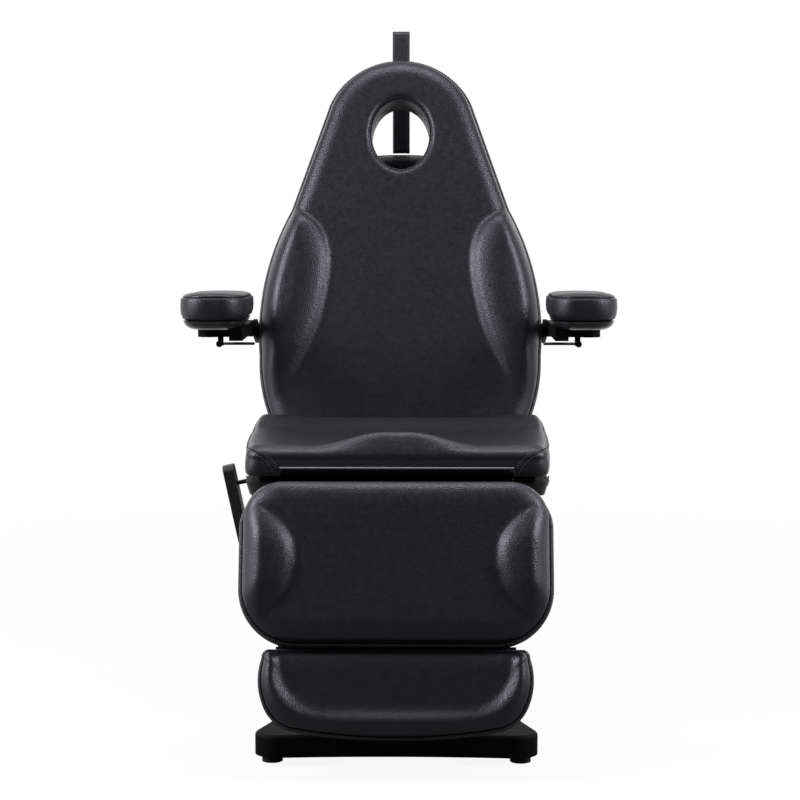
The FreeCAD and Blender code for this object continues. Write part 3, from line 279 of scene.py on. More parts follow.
# Topstitching: one capsule of thread at each step of a seam path
def stitchTree():
    tree = bpy.data.node_groups.new("topstitching", "GeometryNodeTree")
    sockets = [("Seam", "NodeSocketGeometry"), ("Pitch", "NodeSocketFloat"), ("Length", "NodeSocketFloat"),
               ("Thread", "NodeSocketFloat"), ("Finish", "NodeSocketMaterial")]
    for name, kind in sockets:
        tree.interface.new_socket(name=name, in_out="INPUT", socket_type=kind)
    tree.interface.new_socket(name="Stitches", in_out="OUTPUT", socket_type="NodeSocketGeometry")
    given = addNode(tree, "NodeGroupInput").outputs
    steps = addNode(tree, "GeometryNodeResampleCurve", {"Curve": given["Seam"], "Length": given["Pitch"]},
                    mode="LENGTH")
    points = addNode(tree, "GeometryNodeCurveToPoints", {"Curve": steps.outputs[0]}, mode="EVALUATED")
    turn = addNode(tree, "FunctionNodeAlignRotationToVector", {"Vector": points.outputs["Tangent"]}, axis="X")
    stitch = addNode(tree, "GeometryNodeMeshUVSphere", {"Segments": 6, "Rings": 4, "Radius": 0.5})
    size = addNode(tree, "ShaderNodeCombineXYZ", {0: given["Length"], 1: given["Thread"], 2: given["Thread"]})
    placed = addNode(tree, "GeometryNodeInstanceOnPoints",
                     {"Points": points.outputs["Points"], "Instance": stitch.outputs[0],
                      "Rotation": turn.outputs[0], "Scale": size.outputs[0]})
    real = addNode(tree, "GeometryNodeRealizeInstances", {"Geometry": placed.outputs[0]})
    dressed = addNode(tree, "GeometryNodeSetMaterial",
                      {"Geometry": real.outputs[0], "Material": given["Finish"]})
    addNode(tree, "NodeGroupOutput", {"Stitches": dressed.outputs[0]})
    return tree


stitching = stitchTree()
stitchSize = {"Pitch": 6.0, "Length": 3.8, "Thread": 1.5}


def stitchRows(name, paths, body, closed=True):
    holder = pathCurve(name + "Path", paths, closed)
    modifier = holder.modifiers.new("topstitching", "NODES")
    modifier.node_group = stitching
    for socket in stitching.interface.items_tree:
        if socket.in_out == "INPUT" and socket.name in stitchSize:
            modifier[socket.identifier] = stitchSize[socket.name] * mm
        elif socket.name == "Finish":
            modifier[socket.identifier] = sewingThread
    settle(asMesh(holder, name, sewingThread), body, "leather")


def pipingTube(name, paths, body, radius, closed=True, finish=leather):
    holder = pathCurve(name + "Path", paths, closed, radius * mm)
    settle(asMesh(holder, name, finish), body, "leather")


# Outlines: straight and round stretches of a panel, as points in order
def arcPoints(start, middle, end, step):
    (ax, ay), (bx, by), (cx, cy) = start, middle, end
    d = 2 * (ax * (by - cy) + bx * (cy - ay) + cx * (ay - by))
    aa, bb, cc = ax * ax + ay * ay, bx * bx + by * by, cx * cx + cy * cy
    ux = (aa * (by - cy) + bb * (cy - ay) + cc * (ay - by)) / d
    uy = (aa * (cx - bx) + bb * (ax - cx) + cc * (bx - ax)) / d
    radius = math.hypot(ax - ux, ay - uy)
    first = math.atan2(ay - uy, ax - ux)
    sweep = math.atan2(cy - uy, cx - ux) - first
    full = 2 * math.pi
    if d > 0:
        sweep %= full
    else:
        sweep = -((-sweep) % full)
    count = max(2, round(abs(sweep) * radius / step))
    turns = [first + sweep * i / count for i in range(count)]
    return [(ux + radius * math.cos(t), uy + radius * math.sin(t)) for t in turns]


def outlinePath(stretches, step=5.0):
    points = []
    for stretch in stretches:
        if len(stretch) == 3:
            points += arcPoints(*stretch, step)
            continue
        (ax, ay), (bx, by) = stretch
        count = max(1, round(math.hypot(bx - ax, by - ay) / step))
        points += [(ax + (bx - ax) * i / count, ay + (by - ay) * i / count) for i in range(count)]
    return points


def roundedPanel(x0, x1, y0, y1, lowRadius, highRadius):
    corners = [(x1, y1, -1, -1, highRadius), (x0, y1, 1, -1, highRadius),
               (x0, y0, 1, 1, lowRadius), (x1, y0, -1, 1, lowRadius)]
    rounds = []
    for x, y, sx, sy, r in corners:
        cut = r * (1 - math.sqrt(0.5))
        ends = [(x, y + sy * r), (x + sx * r, y)]
        if sx * sy < 0:
            ends.reverse()
        rounds.append((ends[0], (x + sx * cut, y + sy * cut), ends[1]))
    stretches = []
    for i, corner in enumerate(rounds):
        following = rounds[(i + 1) % len(rounds)]
        stretches += [corner, (corner[-1], following[0])]
    return outlinePath(stretches)


# Inward directions, evened out along the edge so that deep insets never fold over at a corner
def inwardNormals(points, even=11):
    count = len(points)
    raw = []
    for i in range(count):
        ax, ay = points[i - 1]
        bx, by = points[(i + 1) % count]
        length = math.hypot(bx - ax, by - ay)
        raw.append((-(by - ay) / length, (bx - ax) / length))
    normals = []
    for i in range(count):
        sx = sum(raw[(i + k) % count][0] for k in range(-even, even + 1))
        sy = sum(raw[(i + k) % count][1] for k in range(-even, even + 1))
        length = math.hypot(sx, sy)
        normals.append((sx / length, sy / length))
    return normals


def smooth(t):
    t = min(1.0, max(0.0, t))
    return t * t * (3 - 2 * t)


# Smooth value between the entries of a table of places and values
def alongTable(table, at):
    at = min(max(at, table[0][0]), table[-1][0])
    last = len(table) - 1
    i = min(last - 1, sum(1 for place, _ in table[1:] if place < at))
    slopes = []
    for k in (i, i + 1):
        (a, va), (b, vb) = table[max(0, k - 1)], table[min(last, k + 1)]
        slopes.append((vb - va) / (b - a))
    (a, va), (b, vb) = table[i], table[i + 1]
    h = b - a
    t = (at - a) / h
    return (va * (1 + 2 * t) * (1 - t) ** 2 + vb * t * t * (3 - 2 * t)
            + slopes[0] * h * t * (1 - t) ** 2 - slopes[1] * h * t * t * (1 - t))


# Shares of a bolster's slope: how far its foot blends in, and where and how much it falls to the panel's edge
bolsterForm = {"footBlend": 0.3, "fallFrom": 0.75, "fall": 0.22}


def bolsterShare(side, foot, slope):
    t = max(0.0, (side - foot) / slope)
    rise = (1 - max(0.0, 1 - t) ** 2) * smooth(t / bolsterForm["footBlend"])
    return rise - bolsterForm["fall"] * max(0.0, t - bolsterForm["fallFrom"]) ** 2


def insideRing(points, ring):
    xs, ys = points[:, 0][:, None], points[:, 1][:, None]
    ax, ay = ring[:, 0][None, :], ring[:, 1][None, :]
    bx, by = np.roll(ax, -1), np.roll(ay, -1)
    crosses = (ay > ys) != (by > ys)
    with np.errstate(divide="ignore", invalid="ignore"):
        hits = xs < (bx - ax) * (ys - ay) / (by - ay) + ax
    return (crosses & hits).sum(axis=1) % 2 == 1


# Fills the inside of a ring, less a hole, with points on a grid; returns the new points and all triangles
def fillRing(ring, hole, step, clearShare=0.7):
    edge = np.array(ring + (hole or []))
    lo, hi = edge.min(axis=0), edge.max(axis=0)
    xs = np.arange(lo[0] + step / 2, hi[0], step)
    ys = np.arange(lo[1] + step / 2, hi[1], step)
    grid = np.array([(x, y) for y in ys for x in xs])
    keep = insideRing(grid, np.array(ring))
    if hole:
        keep &= ~insideRing(grid, np.array(hole))
    tree = KDTree(len(edge))
    for i, p in enumerate(edge):
        tree.insert((p[0], p[1], 0), i)
    tree.balance()
    inner = [p for p in grid[keep] if tree.find((p[0], p[1], 0))[2] > clearShare * step]
    count = len(ring)
    edges = [(i, (i + 1) % count) for i in range(count)]
    if hole:
        edges += [(count + i, count + (i + 1) % len(hole)) for i in range(len(hole))]
    everything = [Vector((p[0], p[1])) for p in list(edge) + inner]
    made = delaunay_2d_cdt(everything, edges, [], 1, 1e-6)
    origin = []
    for place, source in zip(made[0], made[3]):
        if not source:
            inner.append(np.array(place))
            everything.append(place)
        origin.append(source[0] if source else len(everything) - 1)
    triangles = [[origin[i] for i in face] for face in made[2]]
    if hole:
        middles = np.array([[sum(everything[i].x for i in f) / 3, sum(everything[i].y for i in f) / 3]
                            for f in triangles])
        outside = ~insideRing(middles, np.array(hole))
        triangles = [f for f, keepIt in zip(triangles, outside) if keepIt]
    return [tuple(p) for p in inner], triangles


# A padded panel: rings of its profile from the rear edge round to the face, then the face and the rear
def paddedPanel(name, outline, profile, relief, place, hole=None, holeProfile=None,
                step=7.0, rearStep=40.0, sideRoll=1.0):
    normals = inwardNormals(outline)
    widths = [sideRoll + (1 - sideRoll) * abs(n[1]) for n in normals]
    verts, flat = [], []
    count = len(outline)
    for inset, roll, height, weight in profile:
        ring = [(p[0] + n[0] * (inset + roll * w), p[1] + n[1] * (inset + roll * w))
                for p, n, w in zip(outline, normals, widths)]
        flat.append(ring)
        verts += [place(x, y, height + weight * relief(x, y)) for x, y in ring]
    faces = bandFaces(len(profile), count)
    holeStart = len(verts)
    holeRings = []
    if hole:
        holeNormals = inwardNormals(hole)
        for inset, height, weight in holeProfile:
            ring = [(p[0] - n[0] * inset, p[1] - n[1] * inset) for p, n in zip(hole, holeNormals)]
            holeRings.append(ring)
            verts += [place(x, y, height + weight * relief(x, y)) for x, y in ring]
        faces += bandFaces(len(holeProfile), len(hole), holeStart)

    def capped(ringAt, holeAt, gap, level, weight):
        holeRing = holeRings[holeAt] if hole else None
        inner, triangles = fillRing(flat[ringAt], holeRing, gap)
        firstInner = len(verts)
        verts.extend(place(x, y, level + weight * relief(x, y)) for x, y in inner)
        ringBase = (ringAt % len(profile)) * count
        holeBase = holeStart + (holeAt % len(holeProfile)) * len(hole) if hole else 0
        holeCount = len(hole) if hole else 0
        for triangle in triangles:
            face = []
            for i in triangle:
                if i < count:
                    face.append(ringBase + i)
                elif i < count + holeCount:
                    face.append(holeBase + i - count)
                else:
                    face.append(firstInner + i - count - holeCount)
            faces.append(tuple(face))

    capped(-1, -1, step, profile[-1][2], 1.0)
    capped(0, 0, rearStep, profile[0][2], 0.0)
    return meshObject(name, verts, faces, leather)


# Front roll of a panel from its seam to its face: it bulges a little past the seam before it turns over
def rollRings(inset, rollWidth, start, face, steps=14, bulge=14):
    sink = math.radians(bulge)
    rings = []
    for k in range(1, steps + 1):
        angle = math.radians(-bulge + (90 + bulge) * k / steps)
        over = math.cos(sink) - math.cos(angle)
        rise = (math.sin(angle) + math.sin(sink)) / (1 + math.sin(sink))
        rings.append((inset, rollWidth * over, start + (face - start) * rise, smooth(k / steps)))
    return rings


# Edge of a panel as inset, roll, height and share of the relief: side band, sewn groove and front roll
def panelProfile(rear, face, lip, seam, rollWidth):
    band = seam - rear
    rollInset, rollStart = lip + 2.7, seam + 0.6
    side = [(26, rear), (12, rear + 0.5), (4.5, rear + 0.1 * band), (1.0, rear + 0.32 * band),
            (0.0, rear + 0.58 * band), (0.15 * lip, rear + 0.8 * band), (0.45 * lip, seam - 2.4)]
    groove = [(0.8 * lip, seam - 0.4), (lip + 0.2, seam - 0.8), (lip + 1.0, seam - 5.0),
              (lip + 2.0, seam - 5.0), (rollInset, rollStart)]
    edge = [(inset, 0.0, height, 0.0) for inset, height in side + groove]
    return edge + rollRings(rollInset, rollWidth, rollStart, face)


# Stitches round a panel on its side band, a share of the seam's inset in and a little behind the seam
def edgeStitches(name, outline, seamInset, seam, place, body, share=0.42, behind=2.2):
    inset = seamInset * share
    row = [place(p[0] + n[0] * inset, p[1] + n[1] * inset, seam - behind)
           for p, n in zip(outline, inwardNormals(outline))]
    stitchRows(name, [row], body)


# Back, drawn on its own face: x across, s up from the hinge along the back, n out of it
back = {
    "tilt": 16.0, "halfWidth": 318.5, "wingHalf": 250.0, "headHalf": 164.0, "bottomHalf": 200.0,
    "topS": 929.0, "headS": 823.0, "wingS": 570.0, "widestS": 231.0, "bottomS": -50.0,
    "rear": 15.0, "face": 90.0, "seam": 60.0, "seamInset": 6.5, "roll": 42.0, "sideRoll": 0.9,
    "wingBulge": 0.973, "cornerBulge": 0.925,  # shares of the half width half way along the round stretches
    "crown": 4.0, "bolster": 27.0, "slope": 88.0, "bolsterFrom": 100.0, "bolsterFade": 160.0,
    "holeS": 742.0, "holeHalfX": 69.0, "holeHalfS": 86.0,
    "piping": 2.3, "pipingN": 80.5, "pipingShare": 0.985,
    "ridge": [(120, 256), (208, 213), (292, 176), (387, 154), (461, 150), (519, 168), (545, 195), (566, 232)],
}


def backPlace(x, s, n):
    angle = math.radians(back["tilt"])
    return Vector((x * mm, backHinge.y + (s * math.sin(angle) - n * math.cos(angle)) * mm,
                   backHinge.z + (s * math.cos(angle) + n * math.sin(angle)) * mm))


def backRelief(x, s):
    side = abs(x)
    crown = back["crown"] * (1 - (side / back["halfWidth"]) ** 2)
    rise = bolsterShare(side, alongTable(back["ridge"], s), back["slope"])
    return crown + back["bolster"] * rise * smooth((s - back["bolsterFrom"]) / back["bolsterFade"])


def backOutline():
    wide = back["halfWidth"]
    right = [(back["headHalf"], back["headS"]), (back["wingHalf"], back["wingS"]),
             (wide * back["wingBulge"], (back["wingS"] + back["widestS"]) / 2), (wide, back["widestS"]),
             (wide * back["cornerBulge"], (back["widestS"] + back["bottomS"]) / 2),
             (back["bottomHalf"], back["bottomS"])]
    left = [(-x, s) for x, s in right]
    return outlinePath([
        (right[0], (0, back["topS"]), left[0]), (left[0], left[1]), (left[1], left[2], left[3]),
        (left[3], left[4], left[5]), (left[5], right[5]), (right[5], right[4], right[3]),
        (right[3], right[2], right[1]), (right[1], right[0])])


backLine = backOutline()
holeLine = [(back["holeHalfX"] * math.cos(t), back["holeS"] + back["holeHalfS"] * math.sin(t))
            for t in np.linspace(0, 2 * math.pi, 120, endpoint=False)]
# the hole's wall and rolled rim, as inset from its edge, height and share of the relief
holeRoll = [(-3.0, back["rear"] - 10.0, 0), (-3.0, 40.0, 0), (-2.5, 70.0, 0), (-1.4, 79.0, 0), (0.4, 80.5, 0),
            (0.2, 82.0, 0.2), (1.8, 86.0, 0.5), (5.0, 88.6, 0.8), (10.0, 90.0, 1.0)]
backProfile = panelProfile(back["rear"], back["face"], back["seamInset"], back["seam"], back["roll"])
backPanel = paddedPanel("backPanel", backLine, backProfile, backRelief, backPlace, holeLine, holeRoll,
                        sideRoll=back["sideRoll"])
settle(backPanel, "back", "leather", "back_cushion")
holeEdge = [backPlace(x * back["pipingShare"], back["holeS"] + (s - back["holeS"]) * back["pipingShare"],
                      back["pipingN"]) for x, s in holeLine]
pipingTube("faceHolePiping", [holeEdge], "back", back["piping"])
edgeStitches("backStitches", backLine, back["seamInset"], back["seam"], backPlace, "back")
print("back panel done")


# Leg rest and foot panel, drawn on their face: x across, a down from the hinge, m out of the face
leg = {
    "tilt": 18.0, "half": 305.0, "top": -24.0, "bottom": 292.6, "topRadius": 84.0, "radius": 116.0,
    "rear": 17.0, "face": 92.0, "seam": 62.0, "seamInset": 8.5, "roll": 42.0, "sideRoll": 1.0,
    "crown": 4.0, "bolster": 25.0, "slope": 80.0, "fadeTop": -2.0, "topFade": 105.0, "fadeBottom": 282.0,
    "bottomFade": 120.0, "overhang": 14.0, "leanDepth": 12.0, "leanEnd": 140.0, "leanFade": 120.0,
    "ridge": [(34, 253), (55, 222), (77, 200), (97, 188), (130, 185), (162, 192), (188, 203), (232, 241)],
}
foot = {
    "side": [(246, 293.2), (255, 299), (258, 310), (264.5, 355), (256, 397), (241, 424), (205, 449)],
    "bottom": 468.0, "rear": 17.0, "face": 79.0, "seam": 52.0, "seamInset": 6.5, "roll": 34.0,
    "sideRoll": 0.7, "rim": 14.0, "sink": 0.6, "slope": 34.0,
    "trayHalf": 214.0, "trayBottom": 403.0, "trayRadius": 84.0,
    # the dark sheet behind the slit, standing in for its shade: half width, then its a and m
    "shadeSheetHalf": 232.0, "shadeSheet": [(286.5, 17.6), (286.5, 19.0), (302.0, 19.0), (302.0, 17.6)],
}


def legPlace(x, a, m):
    angle = math.radians(leg["tilt"])
    return Vector((x * mm, legHinge.y - (m * math.cos(angle) + a * math.sin(angle)) * mm,
                   legHinge.z + (m * math.sin(angle) - a * math.cos(angle)) * mm))


# The padding of the leg rest leans over its side band at the upper edge
def legPadPlace(x, a, m):
    past = (m - leg["seam"] + leg["leanDepth"] / 2) / leg["leanDepth"]
    over = smooth(past) * smooth((leg["leanEnd"] - a) / leg["leanFade"])
    return legPlace(x, a - leg["overhang"] * over, m)


def legRelief(x, a):
    side = abs(x)
    crown = leg["crown"] * (1 - (side / leg["half"]) ** 2)
    rise = bolsterShare(side, alongTable(leg["ridge"], a), leg["slope"])
    ends = smooth((a - leg["fadeTop"]) / leg["topFade"]) * smooth((leg["fadeBottom"] - a) / leg["bottomFade"])
    return crown + leg["bolster"] * rise * ends


def footRelief(x, a):
    r = foot["trayRadius"]
    qx = abs(x) - (foot["trayHalf"] - r)
    qa = a - (foot["trayBottom"] - r)
    away = math.hypot(max(qx, 0), max(qa, 0)) + min(max(qx, qa), 0) - r
    return foot["rim"] * (smooth(away / foot["slope"]) - foot["sink"])


legLine = roundedPanel(-leg["half"], leg["half"], leg["top"], leg["bottom"], leg["topRadius"], leg["radius"])
legProfile = panelProfile(leg["rear"], leg["face"], leg["seamInset"], leg["seam"], leg["roll"])
legPanel = paddedPanel("legPanel", legLine, legProfile, legRelief, legPadPlace, sideRoll=leg["sideRoll"])
settle(legPanel, "leg_rest", "leather", "leg_cushion")
edgeStitches("legStitches", legLine, leg["seamInset"], leg["seam"], legPlace, "leg_rest")
footRight = foot["side"]
footLeft = [(-x, a) for x, a in footRight]
footLine = outlinePath([
    (footRight[6], (0, foot["bottom"]), footLeft[6]), footLeft[6:3:-1], footLeft[4:1:-1], footLeft[2::-1],
    (footLeft[0], footRight[0]), footRight[0:3], footRight[2:5], footRight[4:7]])
footProfile = panelProfile(foot["rear"], foot["face"], foot["seamInset"], foot["seam"], foot["roll"])
footPanel = paddedPanel("footPanel", footLine, footProfile, footRelief, legPlace, step=6.0,
                        sideRoll=foot["sideRoll"])
settle(footPanel, "foot_panel", "leather", "foot_cushion")
edgeStitches("footStitches", footLine, foot["seamInset"], foot["seam"], legPlace, "foot_panel")
# A leather sheet on the foot panel's rear closes the slit under the leg rest: a dark sheet that stands in for the
# shade seen in that slit
shadeSheetVerts = [legPlace(x, a, m)
               for x in (-foot["shadeSheetHalf"], foot["shadeSheetHalf"]) for a, m in foot["shadeSheet"]]
shadeSheetFaces = [(0, 1, 2, 3), (4, 5, 6, 7), (0, 1, 5, 4), (1, 2, 6, 5), (2, 3, 7, 6), (3, 0, 4, 7)]
footShadeSheet = meshObject("footShadeSheet", shadeSheetVerts, shadeSheetFaces, leather)
footShadeSheet.data.shade_flat()
settle(footShadeSheet, "foot_panel", "leather")
print("leg rest and foot panel done")


# Seat, drawn in plan from its CAD box: x across, y from the front edge back, z above the floor
seatLow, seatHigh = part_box("seat_cushion")
seat = {
    "half": seatHigh.x / mm, "front": seatLow.y / mm, "rear": seatHigh.y / mm, "low": seatLow.z / mm,
    "frontHalf": 303.0, "frontRadius": 30.0, "rearRadius": 30.0, "top": 610.0, "roll": 34.0, "sideRoll": 0.45,
    "waist": 4.5, "waistAt": 170.0, "wideAt": 320.0, "scoop": 8.0,
    "pommel": 27.0, "pommelHalf": 166.0, "pommelFade": 140.0,
    "ridgeRise": 4.0, "ridgeAt": 34.0, "ridgeRear": 46.0, "ridgeFront": 30.0,
    "rearRise": 16.0, "rearDepth": 150.0, "rearFade": 130.0,
    "cornerRise": 5.0, "cornerFrom": 190.0, "cornerFade": 60.0, "cornerDepth": 130.0, "cornerDepthFade": 70.0,
    "valanceHalf": 232.0, "valanceTop": 571.0, "valanceSet": 15.0, "valanceDepth": 60.0,
    "seamShadeRadius": 1.5, "stitchGap": 5.0, "weltRadius": 2.2,
}


def seatRelief(x, y):
    side = abs(x)
    past = y - seat["front"] - seat["ridgeAt"]
    ridge = math.exp(-(past / seat["ridgeRear" if past > 0 else "ridgeFront"]) ** 2)
    bell = smooth((seat["pommelHalf"] - side) / seat["pommelFade"])
    depth = seat["rear"] - seat["front"]
    across = 1 - (side / seat["half"]) ** 2
    scoop = -seat["scoop"] * math.sin(math.pi * min(1, max(0, (y - seat["front"]) / depth))) * across
    corner = (seat["cornerRise"] * smooth((side - seat["cornerFrom"]) / seat["cornerFade"])
              * smooth((y - seat["rear"] + seat["cornerDepth"]) / seat["cornerDepthFade"]))
    rear = seat["rearRise"] * smooth((y - seat["rear"] + seat["rearDepth"]) / seat["rearFade"])
    return ridge * (seat["ridgeRise"] + seat["pommel"] * bell) + scoop + corner + rear


def seatPlace(x, y, z):
    # the middle of the front is cut back below the piped edge
    below = z < seat["valanceTop"]
    if below and abs(x) < seat["valanceHalf"] and y < seat["front"] + seat["valanceDepth"]:
        y += seat["valanceSet"]
    return Vector((x, y, z)) * mm


def seatProfile():
    # the side as inset and height above the lowest edge, up to where the roll starts
    rollInset, rollStart = 3.0, 49.0
    side = [(32, 0), (30, 11), (16, 12), (6.0, 13.5), (1.5, 18), (0.2, 24), (0.0, 30.8), (0.0, 31.2),
            (0.3, 36), (1.2, 42), (2.6, 47)]
    edge = [(inset, 0.0, seat["low"] + height, 0.0) for inset, height in side]
    return edge + rollRings(rollInset, seat["roll"], seat["low"] + rollStart, seat["top"])


def seatOutline():
    front, rear, wide = seat["front"], seat["rear"], seat["half"]
    narrow, near, far = seat["frontHalf"], seat["frontRadius"], seat["rearRadius"]
    bend = math.sqrt(0.5)
    right = [(narrow - near, front), (narrow - near + bend * near, front + near - bend * near),
             (narrow, front + near), (wide - seat["waist"], front + seat["waistAt"]),
             (wide, front + seat["wideAt"]), (wide, rear - far),
             (wide - far + bend * far, rear - far + bend * far), (wide - far, rear)]
    left = [(-x, y) for x, y in right]
    return outlinePath([
        (left[0], right[0]), right[0:3], right[2:5], right[4:6], right[5:8],
        (right[7], left[7]), left[7:4:-1], left[5:3:-1], left[4:1:-1], left[2::-1]])


seatLine = seatOutline()
seatPanel = paddedPanel("seatPanel", seatLine, seatProfile(), seatRelief, seatPlace, step=6.0,
                        sideRoll=seat["sideRoll"])
settle(seatPanel, "seat", "leather", "seat_cushion")
seatSkin = skinOf(seatPanel)


# Points of a seam near the skin are set on it, and the row can be moved sideways along the skin
def onSkin(skin, path, side=0.0, lift=0.0):
    placed = []
    count = len(path)
    for i, point in enumerate(path):
        before, after = path[max(0, i - 1)], path[min(count - 1, i + 1)]
        spot, normal, _, _ = skin.find_nearest(point)
        across = normal.cross((after - before).normalized())
        spot, normal, _, _ = skin.find_nearest(spot + across * side * mm)
        placed.append(spot + normal * lift * mm)
    return placed


def splinePath(points, step=4.0):
    path = []
    count = len(points)
    for i in range(count - 1):
        a, b, c, d = (points[max(0, min(count - 1, k))] for k in (i - 1, i, i + 1, i + 2))
        pieces = max(1, round((c - b).length / (step * mm)))
        for k in range(pieces):
            t = k / pieces
            path.append(0.5 * (2 * b + (c - a) * t + (2 * a - 5 * b + 4 * c - d) * t * t
                               + (3 * b - a - 3 * c + d) * t ** 3))
    path.append(points[-1])
    return path


# Side panel seams of the seat: along the upper edge, then down across the front corner, y from the front edge
cornerSeam = [(-303, 470, 612), (-315, 400, 606), (-315, 250, 602), (-309, 140, 602), (-300, 70, 603),
              (-292, 30, 604), (-281, 8, 602), (-262, 2, 594), (-247, 0, 579), (-235, 0, 559),
              (-233.5, 0, 549)]
sideSeams = []
for sign in (1, -1):
    points = [Vector((sign * x, seat["front"] + y, z)) * mm for x, y, z in cornerSeam]
    sideSeams.append(splinePath(points))
seamShadeLines = [onSkin(seatSkin, path) for path in sideSeams]
# a near-black tube laid along each seam: painted shade of its crease
pipingTube("seatSeamShade", seamShadeLines, "seat", seat["seamShadeRadius"], False, seamShade)
seamRows = [onSkin(seatSkin, path, side, 0.2)
            for path in sideSeams for side in (-seat["stitchGap"], seat["stitchGap"])]
stitchRows("seatStitches", seamRows, "seat", closed=False)
frontEdge = [Vector((x, seat["front"] - 1.0, seat["valanceTop"])) * mm
             for x in np.linspace(-seat["valanceHalf"], seat["valanceHalf"], 60)]
# the welt's light grey is a painted highlight along the seat's front edge
pipingTube("seatFrontPiping", [frontEdge], "seat", seat["weltRadius"], False, weltHighlight)
print("seat done")


# Arm pads, from each pad's CAD box
armPad = {
    "frontRadius": 58.0, "rearRadius": 44.0, "seam": 49.5, "seamInset": 3.5, "roll": 22.0, "crown": 3.0,
    "fall": 8.0, "stitchShare": 0.3, "stitchBehind": 3.6,
}
for side in ("left", "right"):
    low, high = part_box("arm_pad_" + side)
    low, high = low / mm, high / mm
    middleX = (low.x + high.x) / 2

    def armRelief(x, y):
        return armPad["crown"] * (1 - ((x - middleX) / (high.x - middleX)) ** 2)

    def armPlace(x, y, z):
        # the top falls away towards the elbow
        share = (y - low.y) / (high.y - low.y) * (z - low.z) / (high.z - low.z)
        return Vector((x, y, z - armPad["fall"] * share)) * mm

    armLine = roundedPanel(low.x, high.x, low.y, high.y, armPad["frontRadius"], armPad["rearRadius"])
    seam, face = low.z + armPad["seam"], high.z - armPad["crown"]
    padProfile = panelProfile(low.z, face, armPad["seamInset"], seam, armPad["roll"])
    pad = paddedPanel("armPad" + side.title(), armLine, padProfile, armRelief, armPlace, step=5.0)
    settle(pad, "arm_" + side, "leather", "arm_pad_" + side)
    edgeStitches("armStitches" + side.title(), armLine, armPad["seamInset"], seam, armPlace, "arm_" + side,
                 armPad["stitchShare"], armPad["stitchBehind"])
print("arm pads done")


# Head pillow behind the back: a slack bag that swells in a short cloth simulation, then gets its welt
pillowLow, pillowHigh = (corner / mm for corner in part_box("head_pillow"))
pillowMid = (pillowLow + pillowHigh) / 2
pillow = {
    "shrink": 5.0, "square": 0.8, "round": 0.8, "rings": 25, "sides": 40, "endAngle": 86,
    "voxel": 6.0, "pressure": 4.0, "frames": 20, "cap": 7.0, "welt": 2.2, "weltPoints": 160,
}


def power(value, share):
    return math.copysign(abs(value) ** share, value)


def bagForm():
    half = (pillowHigh - pillowLow) / 2 - Vector((1, 1, 1)) * pillow["shrink"]
    verts = []
    rings, count, end = pillow["rings"], pillow["sides"], pillow["endAngle"]
    for i in range(rings):
        v = math.radians(-end + 2 * end * i / (rings - 1))
        thick = power(math.cos(v), pillow["square"])
        for k in range(count):
            u = 2 * math.pi * k / count
            verts.append((pillowMid + Vector((half.x * power(math.sin(v), pillow["square"]),
                                              half.y * thick * power(math.cos(u), pillow["round"]),
                                              half.z * thick * power(math.sin(u), pillow["round"])))) * mm)
    ends = [tuple(range(count)), tuple(range((rings - 1) * count, rings * count))]
    return verts, bandFaces(rings, count) + ends


def swollen(name, verts, faces):
    rough = meshObject(name + "Form", verts, faces, leather)
    remesh = rough.modifiers.new("evenMesh", "REMESH")
    remesh.mode = "VOXEL"
    remesh.voxel_size = pillow["voxel"] * mm
    bag = asMesh(rough, name, leather)
    scene = bpy.context.scene
    before = [v.co.copy() for v in bag.data.vertices]
    cloth = bag.modifiers.new("swell", "CLOTH")
    cloth.settings.use_pressure = True
    cloth.settings.uniform_pressure_force = pillow["pressure"]
    cloth.settings.effector_weights.gravity = 0.0
    for number in range(1, pillow["frames"] + 1):
        scene.frame_set(number)
    swell = bag.evaluated_get(bpy.context.evaluated_depsgraph_get()).data
    moved = [v.co - start for v, start in zip(swell.vertices, before)]
    bag.modifiers.remove(cloth)
    scene.frame_set(1)
    for vertex, start, shift in zip(bag.data.vertices, before, moved):
        if shift.length > pillow["cap"] * mm:
            shift *= pillow["cap"] * mm / shift.length
        vertex.co = start + shift
    return bag


headPillow = swollen("headPillow", *bagForm())
settle(headPillow, "back", "leather", "head_pillow")
pillowSkin = skinOf(headPillow)
reach = pillowHigh - pillowMid
welt = []
for k in range(pillow["weltPoints"]):
    angle = 2 * math.pi * k / pillow["weltPoints"]
    way = Vector((math.cos(angle) * reach.x, 0, math.sin(angle) * reach.z))
    welt.append(pillowSkin.ray_cast((pillowMid + way * 2) * mm, -way.normalized())[0])  # from well outside
pipingTube("pillowWelt", [welt], "back", pillow["welt"])
print("pillow done")


# Pillow strap: up the rear of the back, over a round bend and down to the pillow
strap = {
    "half": 20.0, "thick": 3.0, "lowS": 842.0, "highS": 1010.0, "level": 1.5, "bend": 10.0, "endGap": 0.3,
    "upSteps": 16, "bendSteps": 16, "downSteps": 24, "stitchAt": 16.0, "stitchShare": 0.42,
    "section": [(1.0, 0.0), (0.97, 0.37), (0.9, 0.5), (0.8, 0.4), (0.7, 0.5), (0.0, 0.5)],
}


def strapPath():
    low = backPlace(0, strap["lowS"], strap["level"])
    high = backPlace(0, strap["highS"], strap["level"])
    centre = backPlace(0, strap["highS"], strap["level"] - strap["bend"])
    up, over, down = strap["upSteps"], strap["bendSteps"], strap["downSteps"]
    points = [low.lerp(high, i / up) for i in range(up)]
    turn = math.radians(180 - back["tilt"])
    for i in range(over + 1):
        angle = turn - turn * i / over
        points.append(centre + Vector((0, math.cos(angle), math.sin(angle))) * strap["bend"] * mm)
    bottom = Vector((0, points[-1].y, (pillowHigh.z + strap["endGap"]) * mm))
    return points + [points[-1].lerp(bottom, i / down) for i in range(1, down + 1)]


